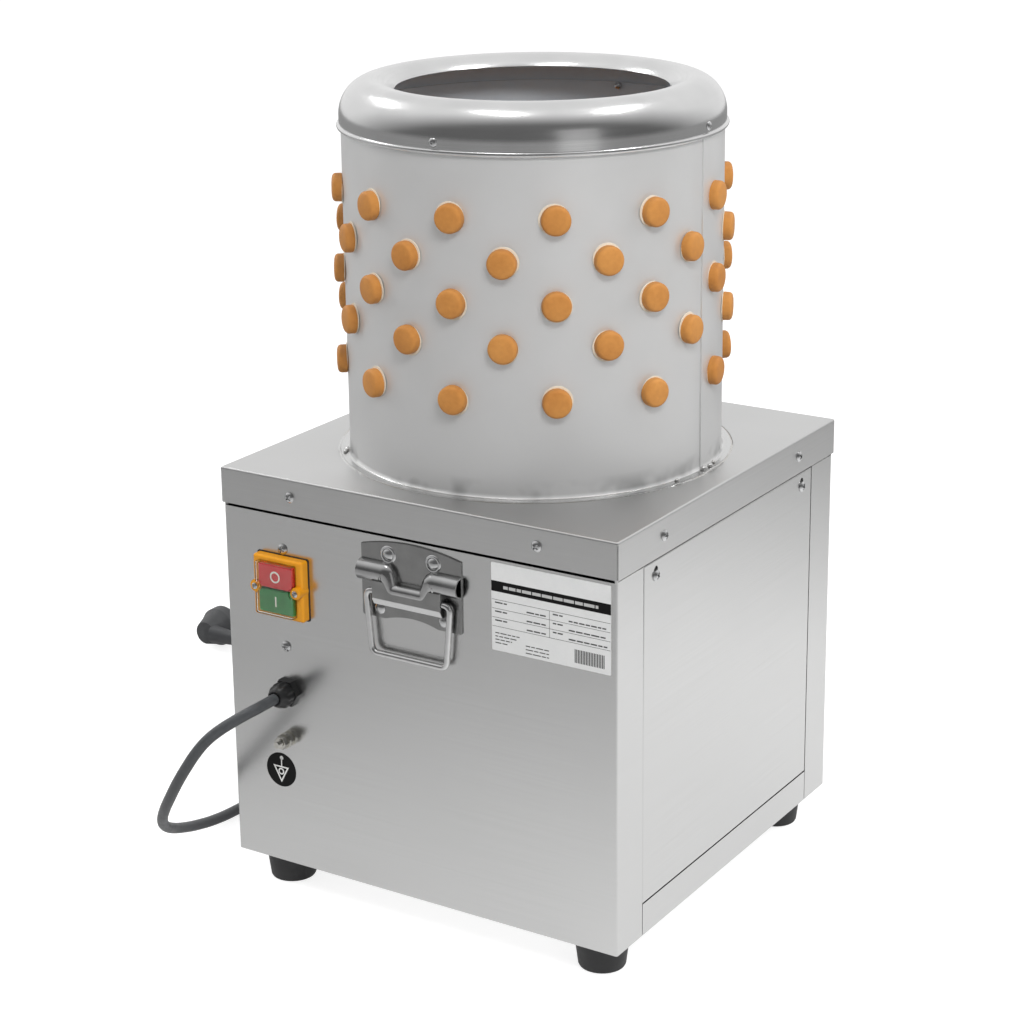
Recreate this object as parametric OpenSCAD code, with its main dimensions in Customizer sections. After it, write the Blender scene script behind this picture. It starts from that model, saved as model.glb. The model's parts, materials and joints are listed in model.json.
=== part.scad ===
// Poultry plucker: a drum lined with rubber fingers on a square stainless casing. A belt turns the
// feather plate in the drum's floor, and feathers fall into a sloped hopper that empties on the left.
// Millimetres, +Z up. The drum's axis is x = y = 0, the floor is z = 0 and the front faces -Y.

/* [Casing] */
// Width and depth of the square casing
case_w = 357; // [350:1:375]
// Height of the casing, from its underside to the top of the lid
case_h = 328; // [320:1:345]
// Thickness of the stainless sheet
sheet = 1.5; // [1:0.1:2]
// Depth of the lid's folded skirt
skirt_h = 29; // [24:1:30]
// Width of the side returns of the front and rear panels
stile_w = 38; // [32:1:44]
// Height of the bottom rail between the side returns
rail_h = 26; // [18:1:36]
// Height of the rubber feet
foot_h = 28; // [20:1:40]
// Diameter of a foot where it meets the casing
foot_top_d = 44; // [38:1:48]
// Diameter of a foot on the floor
foot_floor_d = 37; // [32:1:38]
// Distance of a foot's centre from the casing's sides
foot_inset = 31; // [28:1:40]

/* [Drum] */
// Outer diameter of the drum
drum_d = 298; // [294:1:302]
// Thickness of the drum's wall
drum_wall = 1.5; // [1:0.1:2]
// Height of the drum's wall above the lid
drum_h = 270; // [264:1:290]
// Diameter of the mouth in the rim
mouth_d = 219; // [210:1:224]
// Radius of the rim's inner roll
lip_r = 7; // [6:0.5:12]
// Thickness of the spun rim
rim_wall = 1.2; // [0.8:0.1:1.6]
// Width of the flange turned out at the drum's foot
flange_w = 8; // [6:0.5:10]
// Height of the weld round the flange's edge
weld_h = 2; // [1.5:0.5:4]

/* [Fingers] */
// Number of fingers in a row round the drum
row_count = 12; // [9:1:14]
// Height of the lowest row above the lid
low_row_up = 75.5; // [74:0.5:80]
// Step from the lowest row to the next
low_row_step = 41.5; // [30:0.5:42]
// Step between the other rows
row_step = 32; // [26:0.5:33]
// Angle of the first finger of the lowest row
row_turn = -112; // [-120:0.5:-95]
// Diameter of a finger's head
head_d = 22.5; // [22:0.5:25]
// Height of a finger's head
head_h = 8.5; // [6:0.5:10]
// Diameter of a finger's neck, which sets its hole
neck_d = 19.5; // [16:0.5:20]
// Diameter of a finger at its tip
tip_d = 14; // [10:0.5:16]
// Reach of a drum finger past the drum's outer face
finger_reach = 58; // [45:1:62]
// Reach of a plate finger above the plate
plate_finger_reach = 54; // [40:1:56]

/* [Feather plate and spindle] */
// Diameter of the feather plate
plate_d = 282; // [276:1:284]
// Thickness of the feather plate
plate_t = 3; // [2:0.5:4]
// Depth of the plate's top below the top of the lid
plate_drop = 4; // [3:0.5:6]
// Diameter of the spindle shaft
shaft_d = 25; // [22:0.5:26]
// Outer diameter of the bearings
bearing_d = 52; // [50:0.5:54]
// Height of a bearing
bearing_h = 15; // [12:0.5:16]
// Outer diameter of the spindle housing
housing_d = 66; // [62:1:68]
// Height of the spindle housing
housing_h = 94; // [86:1:98]

/* [Drive] */
// Diameter of the driven pulley
pulley_d = 170; // [150:1:176]
// Diameter of the motor pulley
motor_pulley_d = 46; // [42:1:50]
// Thickness of both pulleys
pulley_t = 20; // [18:0.5:22]
// Distance between the spindle and the motor
drive_reach = 118; // [114:1:124]
// Direction of the motor from the spindle
drive_turn = -36.5; // [-45:0.5:-30]
// Diameter of the motor
motor_d = 104; // [96:1:108]
// Diameter of the motor's shaft
motor_shaft_d = 14; // [12:0.5:15]

/* [Hopper] */
// Slope of the hopper's floor, in degrees
hopper_slope = 19; // [17:0.5:20]
// Half width of the hopper under the drum
hopper_half = 152; // [151:1:160]
// Half width of the feather outlet
outlet_half = 117; // [110:1:117]
// Height of the feather outlet
outlet_h = 54; // [40:1:58]

/* [Switch] */
// Height of the switch's centre below the top of the lid
switch_drop = 89; // [84:1:95]
// Width of the bezel
bezel_w = 48; // [46:1:52]
// Height of the bezel
bezel_h = 50; // [48:1:54]
// Depth of the bezel
bezel_t = 8; // [7:0.5:9]
// Width of a button
button_w = 33; // [30:0.5:34]
// Height of a button
button_h = 19.5; // [17:0.5:20]
// Travel of a button
button_travel = 3; // [2:0.5:3.5]

/* [Handles] */
// Height of the bail's pivot below the top of the lid
handle_drop = 74; // [72:1:80]
// Width of the handle plate
handle_w = 91; // [88:1:100]
// Diameter of the bail's wire
wire_d = 5; // [4:0.5:5.5]
// Drop of the bail's grip below its pivot
bail_drop = 49; // [44:1:56]
// Width between the bail's legs
bail_w = 74; // [73:1:76]

/* [Fittings] */
// Sideways place of the switch, gland and earth stud
control_x = -122; // [-126:1:-118]
// Distance of the cable gland below the switch's lower screw
gland_drop = 38.5; // [32:0.5:42]
// Distance of the earth stud below the cable gland
stud_drop = 39.5; // [34:0.5:46]
// Diameter of the mains lead
cord_d = 9; // [7:0.5:10]
// Diameter of the plug
plug_d = 39; // [36:1:42]
// Width of the rating label
label_w = 102; // [90:1:104]
// Height of the rating label
label_h = 69; // [60:1:72]
// Diameter of the earth mark
mark_d = 29; // [26:1:32]

/* [Hidden] */
$fn = 64;

// Clearances that several pieces share
fit = 0.05;         // running fit and seat, on the radius
hole_gap = 0.2;     // fastener or finger neck in its hole, on the radius
seam_gap = 0.8;     // between neighbouring sheets
button_gap = 0.4;   // button in its window
belt_gap = 0.5;     // belt in its groove

// Casing
half = case_w / 2;
inner = half - sheet;
lid_half = half + sheet;
lid_z = foot_h + case_h;
lid_under = lid_z - sheet;
floor_z = foot_h + sheet;
panel_half = half - stile_w - seam_gap;
panel_low = foot_h + rail_h + seam_gap;
panel_top = lid_z - skirt_h - 2;
foot_place = half - foot_inset;
top_rail_h = 60;
lid_screw_x = half - 66.5;
lid_screw_z = lid_z - skirt_h / 2;
panel_screw_y = panel_half - 18;
panel_screw_z = panel_top - 12;
slot_up = 9;

// Drum and rim
drum_r = drum_d / 2;
bore_r = drum_r - drum_wall;
skirt_r = drum_r + hole_gap + rim_wall;
roll_r = skirt_r - mouth_d / 2 - lip_r;
crest_r = skirt_r - roll_r;
roll_z = lid_z + drum_h - 1;
roll_h = 0.8 * roll_r;
crest_z = roll_z + roll_h;
bead_r = 1.9;
bead_z = roll_z - 8;
rim_rivet_z = bead_z + 6.5;
rim_rivet_turn = -87;

// Finger rows, from the lowest up, every other row half a step round
row_z = [for (i = [0:4]) lid_z + low_row_up + (i == 0 ? 0 : low_row_step + (i - 1) * row_step)];
row_angle = 360 / row_count;
neck_r = neck_d / 2;
finger_hole_r = neck_r + hole_gap;

// Plate and spindle
plate_z = lid_z - plate_drop - plate_t;
plate_top = plate_z + plate_t;
shaft_r = shaft_d / 2;
hub_t = 8;
hub_z = plate_z - hub_t;
hub_boss_r = shaft_r + 10.5;
hub_boss_h = 14;
skirt_z = hub_z - hub_boss_h;
outer_ring_r = 112;
outer_ring_count = 8;
inner_ring_r = 66;
inner_ring_count = 4;
plate_screw_r = 34;
nut_thread_r = 8;
housing_r = housing_d / 2;
housing_z = skirt_z - 11 - housing_h;
housing_top = housing_z + housing_h;
flange_r = housing_r + 21;
flange_t = 8;
flange_bolt_r = housing_r + 11;
bolt_r = 4;
collar_r = housing_r + 0.3;
collar_top = housing_top - 4;

// Bridge and drive
bridge_t = 4;
bridge_half = 56;
bridge_z = housing_z - bridge_t;
bridge_lip = 15;
pulley_z = bridge_z - bridge_lip - 5 - pulley_t;
belt_z = pulley_z + pulley_t / 2;
belt_h = 7;
belt_w = 8;
groove = 9;
belt_in = pulley_d / 2 - groove + belt_gap;
motor_belt_in = motor_pulley_d / 2 - groove + belt_gap;
motor_at = drive_reach * [cos(drive_turn), sin(drive_turn)];
motor_r = motor_d / 2;
motor_shaft_r = motor_shaft_d / 2;
motor_foot_t = 4;
motor_z = floor_z + motor_foot_t;
bell_h = 22;
motor_boss_h = 5;
motor_top = pulley_z - 8;
motor_bolt_x = motor_r + 5;
motor_bolt_y = 44;
terminal_x = motor_at[0] - motor_r - 8;
terminal_z = 90;

// Hopper
hopper_x = inner - 5;
hopper_high = lid_z - 20;
outlet_end = half + 7;
taper_in = 20;
taper_out = 100;
outlet_low = hopper_high - 2 * hopper_x * tan(hopper_slope);
outlet_top = outlet_low + outlet_h;

// Switch
switch_z = lid_z - switch_drop;
bezel_front = -half - bezel_t;
window_w = button_w + 2 * button_gap;
window_h = 2 * button_h + 4 * button_gap;
lobe_x = button_w / 2 + 3;
lobe_r = 5;
lobe_proud = 4;
stem_r = 3;
stem_len = 22;
switch_deep = 46;
button_step = button_h / 2 + button_gap;
button_proud = 3;
cover_gap = 1.2;
cover_wall = 0.8;
cover_proud = button_proud + 2;
switch_screw_up = switch_z + bezel_h / 2 + 5;
switch_screw_low = switch_z - bezel_h / 2 - 26;

// Handles
handle_z = lid_z - handle_drop;
wire_r = wire_d / 2;
pivot_off = 6;
press_out = 10;
knuckle_in = 17;
bail_corner = wire_d;
knuckle_out = bail_w / 2 - bail_corner - 0.5;
handle_up = 40.5;
handle_down = 23;
arch_up = 6;
arch_down = 4;
roll_r_out = press_out - sheet;
roll_up = 14.5;
face_top = 8;
face_low = -6;
face_foot = -10;
scoop_up = 2;
scoop_r = 4;
rivet_high = [20.5, 29];
rivet_low = [29, -15.5];
rivet_r = 2.3;

// Gland, stud and plug
gland_z = switch_screw_low - gland_drop;
stud_z = gland_z - stud_drop;
cord_r = cord_d / 2;
gland_flange_t = 5;
gland_nose = -half - 18;
thread_r = 8;
stud_out = 18;
stud_free = 14;
stud_core = 2.5;
plug_r = plug_d / 2;
plug_at = [-522, 232];
plug_deep = 32;
plug_collar = 24;
plug_cord_in = 29;
cord_end = [plug_at[0] + plug_r + plug_collar, plug_at[1] - plug_cord_in];

// Route of the mains lead: out of the gland, round the casing's front left corner, down to the floor and
// back along it to the plug
cord_route = [
    [control_x, gland_nose, gland_z], [control_x, gland_nose - 9.5, gland_z],
    [-122.8, -217, 177], [-126.6, -227.2, 174.7], [-133, -236.2, 170.2], [-141.5, -242.8, 163.5],
    [-151, -246.5, 154.5], [-161, -248, 142.5], [-172, -247.5, 127.5], [-184.5, -244.5, 110.5],
    [-198.5, -238, 92], [-213.5, -228.5, 73.5], [-228, -215.5, 56], [-240.5, -199, 40.5],
    [-249.5, -180, 28], [-254.5, -159, 18.5], [-256.5, -136.5, 11.5], [-256.5, -113, 7], [-256, -89, 5],
    [-255, -65, 5], [-255, -41, 5], [-256.5, -17, 5], [-260, 7, 5], [-265.5, 31, 5], [-273.5, 54, 5],
    [-284, 76, 5], [-297, 97, 5], [-312, 116, 5], [-329, 134, 5], [-348, 150, 5], [-368, 164, 5],
    [-389, 176, 6], [-411, 185.5, 8], [-433, 193, 12], [-453, 199, 16.5],
    [cord_end[0] + 10.5, cord_end[1], plug_r - 0.3], [cord_end[0], cord_end[1], plug_r]
];

// Routes of the leads inside the casing
switch_under = switch_z - window_h / 2 + 1;
gland_back = -inner + 6;
switch_route = [
    [control_x, gland_back, gland_z], [control_x, gland_back + 8, gland_z],
    [control_x, gland_back + 16, gland_z + 4],
    [control_x, gland_back + 21, gland_z + 12], [control_x, gland_back + 23, gland_z + 22],
    [control_x, gland_back + 23, switch_under - 10], [control_x, gland_back + 23, switch_under]
];
motor_route = [
    [control_x, -136, switch_under], [control_x, -136, switch_under - 20], [control_x, -136, 150],
    [control_x, -136, 130], [-118, -134, 113], [-107, -130, 100], [-90, -124, 93], [-65, -115, 90],
    [-30, -100, 90], [0, -85, 90], [terminal_x - 18, motor_at[1] - 2, terminal_z],
    [terminal_x - 8, motor_at[1], terminal_z], [terminal_x, motor_at[1], terminal_z]
];

// Shared shapes

module bar(low, high) {
    translate(low) cube(high - low);
}

// A pan-head screw whose head sits on z = 0 and whose shank runs down
module pan_screw(head_r, head_h, shank_r, shank_h) {
    difference() {
        union() {
            intersection() {
                cylinder(r = head_r, h = head_h);
                translate([0, 0, head_h - 2 * head_r]) sphere(r = 2 * head_r);
            }
            translate([0, 0, -shank_h]) cylinder(r = shank_r, h = shank_h + head_h / 4);
        }
        for (turn = [0, 90])
            rotate(turn)
                translate([-head_r * 0.6, -head_r * 0.12, head_h * 0.5])
                    cube([head_r * 1.2, head_r * 0.24, head_h]);
    }
}

module sheet_screw() {
    pan_screw(4.3, 2.6, 2, 8);
}

// A hexagon nut or bolt head across flats, standing on z = 0
module hexagon(flats, h) {
    cylinder(r = flats / sqrt(3), h = h, $fn = 6);
}

// A blind rivet: a low dome on z = 0 with the mandrel's dimple, and its tail behind the sheets
module rivet(head_r, head_h, shank_r, grip) {
    dome = (head_r * head_r + head_h * head_h) / (2 * head_h);
    difference() {
        intersection() {
            translate([0, 0, head_h - dome]) sphere(r = dome);
            cylinder(r = head_r, h = head_h);
        }
        translate([0, 0, head_h / 2]) cylinder(r = shank_r / 2, h = head_h);
    }
    translate([0, 0, -grip]) cylinder(r = shank_r, h = grip);
    translate([0, 0, -grip - 3]) cylinder(r = shank_r + 1, h = 3);
}

// Round wire along flat points, with rounded corners
function unit(v) = v / norm(v);
function turn_of(a, b) = atan2(a[0] * b[1] - a[1] * b[0], a * b);
module bent_wire(points, corner_r, r) {
    last = len(points) - 1;
    way = [for (i = [0:last - 1]) unit(points[i + 1] - points[i])];
    trim = [
        for (i = [0:last])
            i == 0 || i == last ? 0 : corner_r * tan(abs(turn_of(way[i - 1], way[i])) / 2)
    ];
    for (i = [0:last - 1]) {
        from = points[i] + way[i] * trim[i];
        run = norm(points[i + 1] - points[i]) - trim[i] - trim[i + 1];
        translate([from[0], from[1], 0])
            rotate([0, 90, atan2(way[i][1], way[i][0])]) cylinder(r = r, h = run);
    }
    for (i = [1:last - 1]) {
        bend = turn_of(way[i - 1], way[i]);
        side = sign(bend);
        start = points[i] - way[i - 1] * trim[i];
        centre = start + side * corner_r * [-way[i - 1][1], way[i - 1][0]];
        heading = atan2(way[i - 1][1], way[i - 1][0]);
        translate([centre[0], centre[1], 0])
            rotate(heading - side * 90 + min(bend, 0))
                rotate_extrude(angle = abs(bend)) translate([corner_r, 0]) circle(r = r);
    }
}

// A cord as one swept tube through its route's points. The route never runs along the given direction.
function along(route, i) = unit(route[min(i + 1, len(route) - 1)] - route[max(i - 1, 0)]);
function ring_at(route, i, r, sides, off) =
    let (t = along(route, i), across = unit(cross(t, off)), up = cross(across, t))
    [
        for (k = [0:sides - 1])
            let (a = 360 * (k + 0.5) / sides)
            route[i] + r * (cos(a) * across + sin(a) * up)
    ];
module tube(route, r, sides, off) {
    rings = len(route);
    last = (rings - 1) * sides;
    points = [for (i = [0:rings - 1]) each ring_at(route, i, r, sides, off)];
    walls = [
        for (i = [0:rings - 2], k = [0:sides - 1])
            let (a = i * sides + k, b = i * sides + (k + 1) % sides)
            each [[a, a + sides, b], [b, a + sides, b + sides]]
    ];
    caps = [
        for (k = [1:sides - 2])
            each [[0, k, k + 1], [last, last + k + 1, last + k]]
    ];
    polyhedron(points = points, faces = concat(walls, caps));
}
function route_length(route, i = 1) =
    i >= len(route) ? 0 : norm(route[i] - route[i - 1]) + route_length(route, i + 1);

// Moves a piece drawn on the XY plane, with z outwards, onto the front of the casing
module on_front(x, z) {
    translate([x, -half, z]) rotate([90, 0, 0]) children();
}
module on_right(y, z) {
    translate([half, y, z]) rotate([90, 0, 90]) children();
}

// Places of the fasteners
module at_lid_screws() {
    for (turn = [0:90:270], x = [-lid_screw_x, lid_screw_x])
        rotate(turn) translate([x, -lid_half, lid_screw_z]) rotate([90, 0, 0]) children();
}
module at_panel_screws() {
    for (turn = [90, 270], x = [-panel_screw_y, panel_screw_y])
        rotate(turn) translate([x, -half, panel_screw_z]) rotate([90, 0, 0]) children();
}
module at_switch_screws() {
    for (z = [switch_screw_low, switch_screw_up]) on_front(control_x, z) children();
}
module at_handle_rivets() {
    for (turn = [0, 180], side = [-1, 1], at = [rivet_high, rivet_low])
        rotate(turn) on_front(side * at[0], handle_z + at[1]) children();
}
module at_feet() {
    for (x = [-foot_place, foot_place], y = [-foot_place, foot_place]) translate([x, y, 0]) children();
}
module at_motor_bolts() {
    translate([motor_at[0], motor_at[1], 0])
        for (x = [-motor_bolt_x, motor_bolt_x], y = [-motor_bolt_y, motor_bolt_y])
            translate([x, y, 0]) children();
}
module at_spindle_bolts() {
    for (turn = [45:90:315]) rotate(turn) translate([flange_bolt_r, 0, 0]) children();
}
module at_plate_screws() {
    for (turn = [45:90:315]) rotate(turn) translate([plate_screw_r, 0, 0]) children();
}
module at_plate_fingers() {
    for (i = [0:outer_ring_count - 1])
        rotate(360 * i / outer_ring_count) translate([outer_ring_r, 0, 0]) children();
    for (i = [0:inner_ring_count - 1])
        rotate(360 * (i + 0.5) / inner_ring_count) translate([inner_ring_r, 0, 0]) children();
}
// The fingers of one row round the drum, with z inwards from the drum's outer face
module at_row(row) {
    for (i = [0:row_count - 1])
        rotate(row_turn + (i - (row % 2) / 2) * row_angle)
            translate([drum_r, 0, row_z[row]]) rotate([0, -90, 0]) children();
}
module at_rim_rivets() {
    for (i = [0:3])
        rotate(rim_rivet_turn + 90 * i) translate([skirt_r, 0, rim_rivet_z]) rotate([0, 90, 0]) children();
}

// Casing

module folded_panel() {
    translate([0, 0, foot_h])
        linear_extrude(lid_under - foot_h)
            difference() {
                translate([-half, -half]) square([case_w, stile_w]);
                translate([-inner, -inner]) square([2 * inner, stile_w]);
            }
}

module front_panel() {
    color("#c4c5c6")
        difference() {
            folded_panel();
            at_lid_screws() translate([0, 0, -10]) cylinder(r = 2 + hole_gap, h = 12);
            at_handle_rivets() translate([0, 0, -5]) cylinder(r = rivet_r + hole_gap, h = 10);
            at_switch_screws() translate([0, 0, -5]) cylinder(r = 2 + hole_gap, h = 10);
            on_front(control_x, gland_z) translate([0, 0, -5]) cylinder(r = thread_r + hole_gap, h = 10);
            on_front(control_x, stud_z) translate([0, 0, -5]) cylinder(r = stud_core + hole_gap, h = 10);
            on_front(control_x, switch_z)
                translate([-window_w / 2, -window_h / 2, -5]) cube([window_w, window_h, 10]);
        }
}

module rear_panel() {
    color("#c4c5c6")
        difference() {
            mirror([0, 1, 0]) folded_panel();
            at_lid_screws() translate([0, 0, -10]) cylinder(r = 2 + hole_gap, h = 12);
            at_handle_rivets() translate([0, 0, -5]) cylinder(r = rivet_r + hole_gap, h = 10);
        }
}

module base_tray() {
    flange_top = floor_z + 20;
    color("#b8babc")
        difference() {
            union() {
                bar([-inner, -inner, foot_h], [inner, inner, floor_z]);
                for (side = [0, 1])
                    mirror([side, 0, 0]) {
                        bar([inner - sheet, -panel_half, foot_h], [half, panel_half, floor_z]);
                        bar([half - sheet, -panel_half, foot_h], [half, panel_half, foot_h + rail_h]);
                    }
                for (side = [0, 1])
                    mirror([0, side, 0])
                        bar([-inner + sheet, -inner, foot_h], [inner - sheet, -inner + sheet, flange_top]);
            }
            at_feet() cylinder(r = 3 + hole_gap, h = floor_z + 1);
            at_motor_bolts() cylinder(r = 3 + hole_gap, h = floor_z + 1);
        }
}

module lid() {
    color("#c8c9ca")
        difference() {
            bar([-lid_half, -lid_half, lid_z - skirt_h], [lid_half, lid_half, lid_z]);
            bar([-half, -half, lid_z - skirt_h - 1], [half, half, lid_under]);
            cylinder(r = bore_r, h = lid_z + 1);
            at_lid_screws() translate([0, 0, -5]) cylinder(r = 2 + hole_gap, h = 10);
        }
}

module side_sheet() {
    difference() {
        bar([half - sheet, -panel_half, panel_low], [half, panel_half, panel_top]);
        for (y = [-panel_screw_y, panel_screw_y]) {
            on_right(y, panel_screw_z) translate([0, 0, -5]) cylinder(r = 3, h = 10);
            on_right(y, panel_screw_z) translate([-3, 0, -5]) cube([6, slot_up - 3, 10]);
            on_right(y, panel_screw_z + slot_up - 3) translate([0, 0, -5]) cylinder(r = 3, h = 10);
        }
    }
}

module right_panel() {
    color("#cccdce") side_sheet();
}

module left_panel() {
    opening = outlet_half + sheet + 1;
    color("#cccdce")
        difference() {
            mirror([1, 0, 0]) side_sheet();
            bar([-half - 1, -opening, outlet_low - 10], [-inner + 1, opening, outlet_top + 1]);
        }
}

module top_rails() {
    color("#b0b2b4")
        difference() {
            for (side = [0, 1])
                mirror([side, 0, 0])
                    bar([inner - sheet, -inner, lid_under - top_rail_h], [inner, inner, lid_under]);
            at_lid_screws() translate([0, 0, -10]) cylinder(r = 2 + hole_gap, h = 12);
            at_panel_screws() translate([0, 0, -10]) cylinder(r = 2 + hole_gap, h = 12);
        }
}

module feet() {
    bevel = 2;
    color("#1b1b1c")
        at_feet()
            difference() {
                rotate_extrude()
                    polygon([
                        [0, 0], [foot_floor_d / 2 - bevel, 0], [foot_floor_d / 2, bevel],
                        [foot_top_d / 2, foot_h], [0, foot_h]
                    ]);
                translate([0, 0, -1]) cylinder(r = 9, h = foot_h / 2 + 1);
                cylinder(r = 3 + hole_gap, h = foot_h + 1);
            }
}

module foot_bolts() {
    color("#9a9c9e")
        at_feet() {
            translate([0, 0, foot_h / 2 - 4]) hexagon(10, 4);
            translate([0, 0, foot_h / 2]) cylinder(r = 3, h = floor_z + 5 - foot_h / 2);
            translate([0, 0, floor_z])
                difference() {
                    hexagon(10, 5);
                    translate([0, 0, -1]) cylinder(r = 3 + fit, h = 7);
                }
        }
}

// Drum

module drum() {
    color("#c2c3c3")
        difference() {
            union() {
                translate([0, 0, lid_z]) cylinder(r = drum_r, h = drum_h);
                translate([0, 0, lid_z]) cylinder(r = drum_r + flange_w, h = drum_wall);
            }
            translate([0, 0, lid_z - 1]) cylinder(r = bore_r, h = drum_h + 2);
            for (row = [0:4]) at_row(row) translate([0, 0, -5]) cylinder(r = finger_hole_r, h = 15);
            at_rim_rivets() translate([0, 0, -8]) cylinder(r = 2 + hole_gap, h = 8);
        }
}

module drum_weld() {
    color("#9c9a96")
        translate([0, 0, lid_z])
            rotate_extrude()
                translate([drum_r + flange_w + fit, 0])
                    polygon([[0, 0], [weld_h, 0], [weld_h * 0.45, weld_h * 0.45], [0, weld_h]]);
}

// The spun rim: a straight skirt with a rolled bead, a wide outer roll and a tight roll into the mouth
function arc_of(centre, across, up, from, to, steps) = [
    for (i = [0 : steps])
        let (turn = from + (to - from) * i / steps)
            centre + [across * cos(turn), up * sin(turn)]
];

// The rim is spun: a flattened outer roll up to its crest, then a tight lip down into the mouth
module rim_section() {
    lip_z = crest_z - lip_r;
    lip_in = lip_r - rim_wall;
    roll = [crest_r, roll_z];
    lip = [crest_r, lip_z];
    polygon(concat(
        [[skirt_r, bead_z]],
        arc_of(roll, roll_r, roll_h, 0, 90, 16),
        arc_of(lip, lip_r, lip_r, 96, 180, 7),
        [[crest_r - lip_r, lip_z - 3], [crest_r - lip_in, lip_z - 3]],
        arc_of(lip, lip_in, lip_in, 180, 96, 7),
        arc_of(roll, roll_r - rim_wall, roll_h - rim_wall, 90, 0, 16),
        [[skirt_r - rim_wall, bead_z]]
    ));
}
module drum_rim() {
    color("#cfd0d1")
        difference() {
            rotate_extrude() {
                rim_section();
                translate([skirt_r, bead_z]) circle(r = bead_r);
            }
            translate([0, 0, bead_z - bead_r - 1])
                cylinder(r = skirt_r - rim_wall, h = roll_z - bead_z + bead_r + 1);
            at_rim_rivets() translate([0, 0, -5]) cylinder(r = 2 + hole_gap, h = 10);
        }
}

module rim_rivets() {
    color("#b9babb") at_rim_rivets() rivet(3.6, 1.6, 2, rim_wall + hole_gap + drum_wall + 0.2);
}

// Fingers

// One rubber finger: its head's underside is at z = 0, its neck fills the wall and its ribbed body runs up
module finger(wall, reach) {
    ribs = 8;
    head_r = head_d / 2;
    shoulder = wall + 0.7;
    body = reach - shoulder - 4;
    root_r = neck_r + 1;
    tip_r = tip_d / 2;
    rib = 0.7;
    rotate_extrude()
        polygon(concat(
            [[0, -head_h], [head_r - 1, -head_h], [head_r, -head_h + 1], [head_r, -0.6]],
            [[head_r - 0.5, -0.1], [neck_r, -0.1], [neck_r, shoulder], [root_r, shoulder]],
            [[root_r, shoulder + 3]],
            [
                for (i = [0:2 * ribs])
                    let (s = i / (2 * ribs))
                    [root_r - rib + (tip_r - root_r) * s - (i % 2) * rib, shoulder + 3 + s * (body - 3)]
            ],
            [[tip_r - 2, reach - 1], [tip_r - 4, reach], [0, reach]]
        ));
}

module finger_row(row) {
    color("#d2923c") at_row(row) finger(drum_wall, finger_reach);
}

module finger_row_1() { finger_row(0); }
module finger_row_2() { finger_row(1); }
module finger_row_3() { finger_row(2); }
module finger_row_4() { finger_row(3); }
module finger_row_5() { finger_row(4); }

// Feather plate and spindle

module feather_plate() {
    color("#bfc1c2")
        difference() {
            translate([0, 0, plate_z]) cylinder(r = plate_d / 2, h = plate_t);
            cylinder(r = nut_thread_r + hole_gap, h = plate_top + 1);
            at_plate_fingers() cylinder(r = finger_hole_r, h = plate_top + 1);
            at_plate_screws() cylinder(r = 3 + hole_gap, h = plate_top + 1);
        }
}

module plate_fingers() {
    color("#d2923c")
        at_plate_fingers() translate([0, 0, plate_z]) finger(plate_t, plate_t + plate_finger_reach);
}

module plate_hub() {
    color("#8d9092")
        difference() {
            union() {
                translate([0, 0, hub_z]) cylinder(r = plate_screw_r + 10, h = hub_t);
                translate([0, 0, skirt_z]) cylinder(r = hub_boss_r, h = hub_boss_h);
            }
            cylinder(r = shaft_r + fit, h = plate_top);
            at_plate_screws() cylinder(r = 3 + fit, h = plate_top);
        }
}

module plate_screws() {
    color("#a8aaac")
        at_plate_screws() translate([0, 0, plate_top]) pan_screw(5.5, 3, 3, plate_t + hub_t - 1);
}

module plate_nut() {
    color("#b4b6b8")
        translate([0, 0, plate_top])
            difference() {
                union() {
                    cylinder(r = 16, h = 2);
                    translate([0, 0, 2]) hexagon(24, 12);
                }
                translate([0, 0, -1]) cylinder(r = nut_thread_r + fit, h = 16);
            }
}

// The cup under the hub that throws water clear of the collar
module rain_skirt() {
    cup_r = collar_r + 10;
    cup_wall = 2.5;
    cup_top = 3;
    cup_drop = 22;
    color("#26282a")
        translate([0, 0, skirt_z])
            rotate_extrude() {
                translate([hub_boss_r + fit, 0]) square([cup_r - hub_boss_r - fit, cup_top]);
                translate([cup_r - cup_wall, -cup_drop]) square([cup_wall, cup_drop + cup_top]);
            }
}

module spindle_shaft() {
    color("#a2a5a8") {
        translate([0, 0, pulley_z - 14]) cylinder(r = shaft_r, h = plate_z - pulley_z + 14);
        translate([0, 0, plate_z]) cylinder(r = nut_thread_r, h = plate_t + 16);
    }
}

module spindle_housing() {
    seat_r = bearing_d / 2 + fit;
    color("#6f7376")
        difference() {
            union() {
                translate([0, 0, housing_z]) cylinder(r = housing_r, h = housing_h);
                translate([0, 0, housing_z]) cylinder(r = flange_r, h = flange_t);
            }
            translate([0, 0, housing_z - 1]) cylinder(r = seat_r - 2, h = housing_h + 2);
            translate([0, 0, housing_z - 1]) cylinder(r = seat_r, h = bearing_h + 4);
            translate([0, 0, housing_top - bearing_h - 3]) cylinder(r = seat_r, h = bearing_h + 4);
            at_spindle_bolts()
                translate([0, 0, housing_z - 1]) cylinder(r = bolt_r + hole_gap, h = flange_t + 2);
        }
}

// A sealed ball bearing, drawn as its two rings and the shield between them
module bearing(z) {
    color("#909396")
        translate([0, 0, z])
            difference() {
                cylinder(r = bearing_d / 2, h = bearing_h);
                translate([0, 0, -1]) cylinder(r = shaft_r + fit, h = bearing_h + 2);
                for (side = [-1, bearing_h - 1])
                    translate([0, 0, side])
                        difference() {
                            cylinder(r = bearing_d / 2 - 4, h = 2);
                            translate([0, 0, -1]) cylinder(r = shaft_r + 4, h = 4);
                        }
            }
}

module upper_bearing() { bearing(housing_top - 3 - bearing_h); }
module lower_bearing() { bearing(housing_z + 3); }

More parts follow.
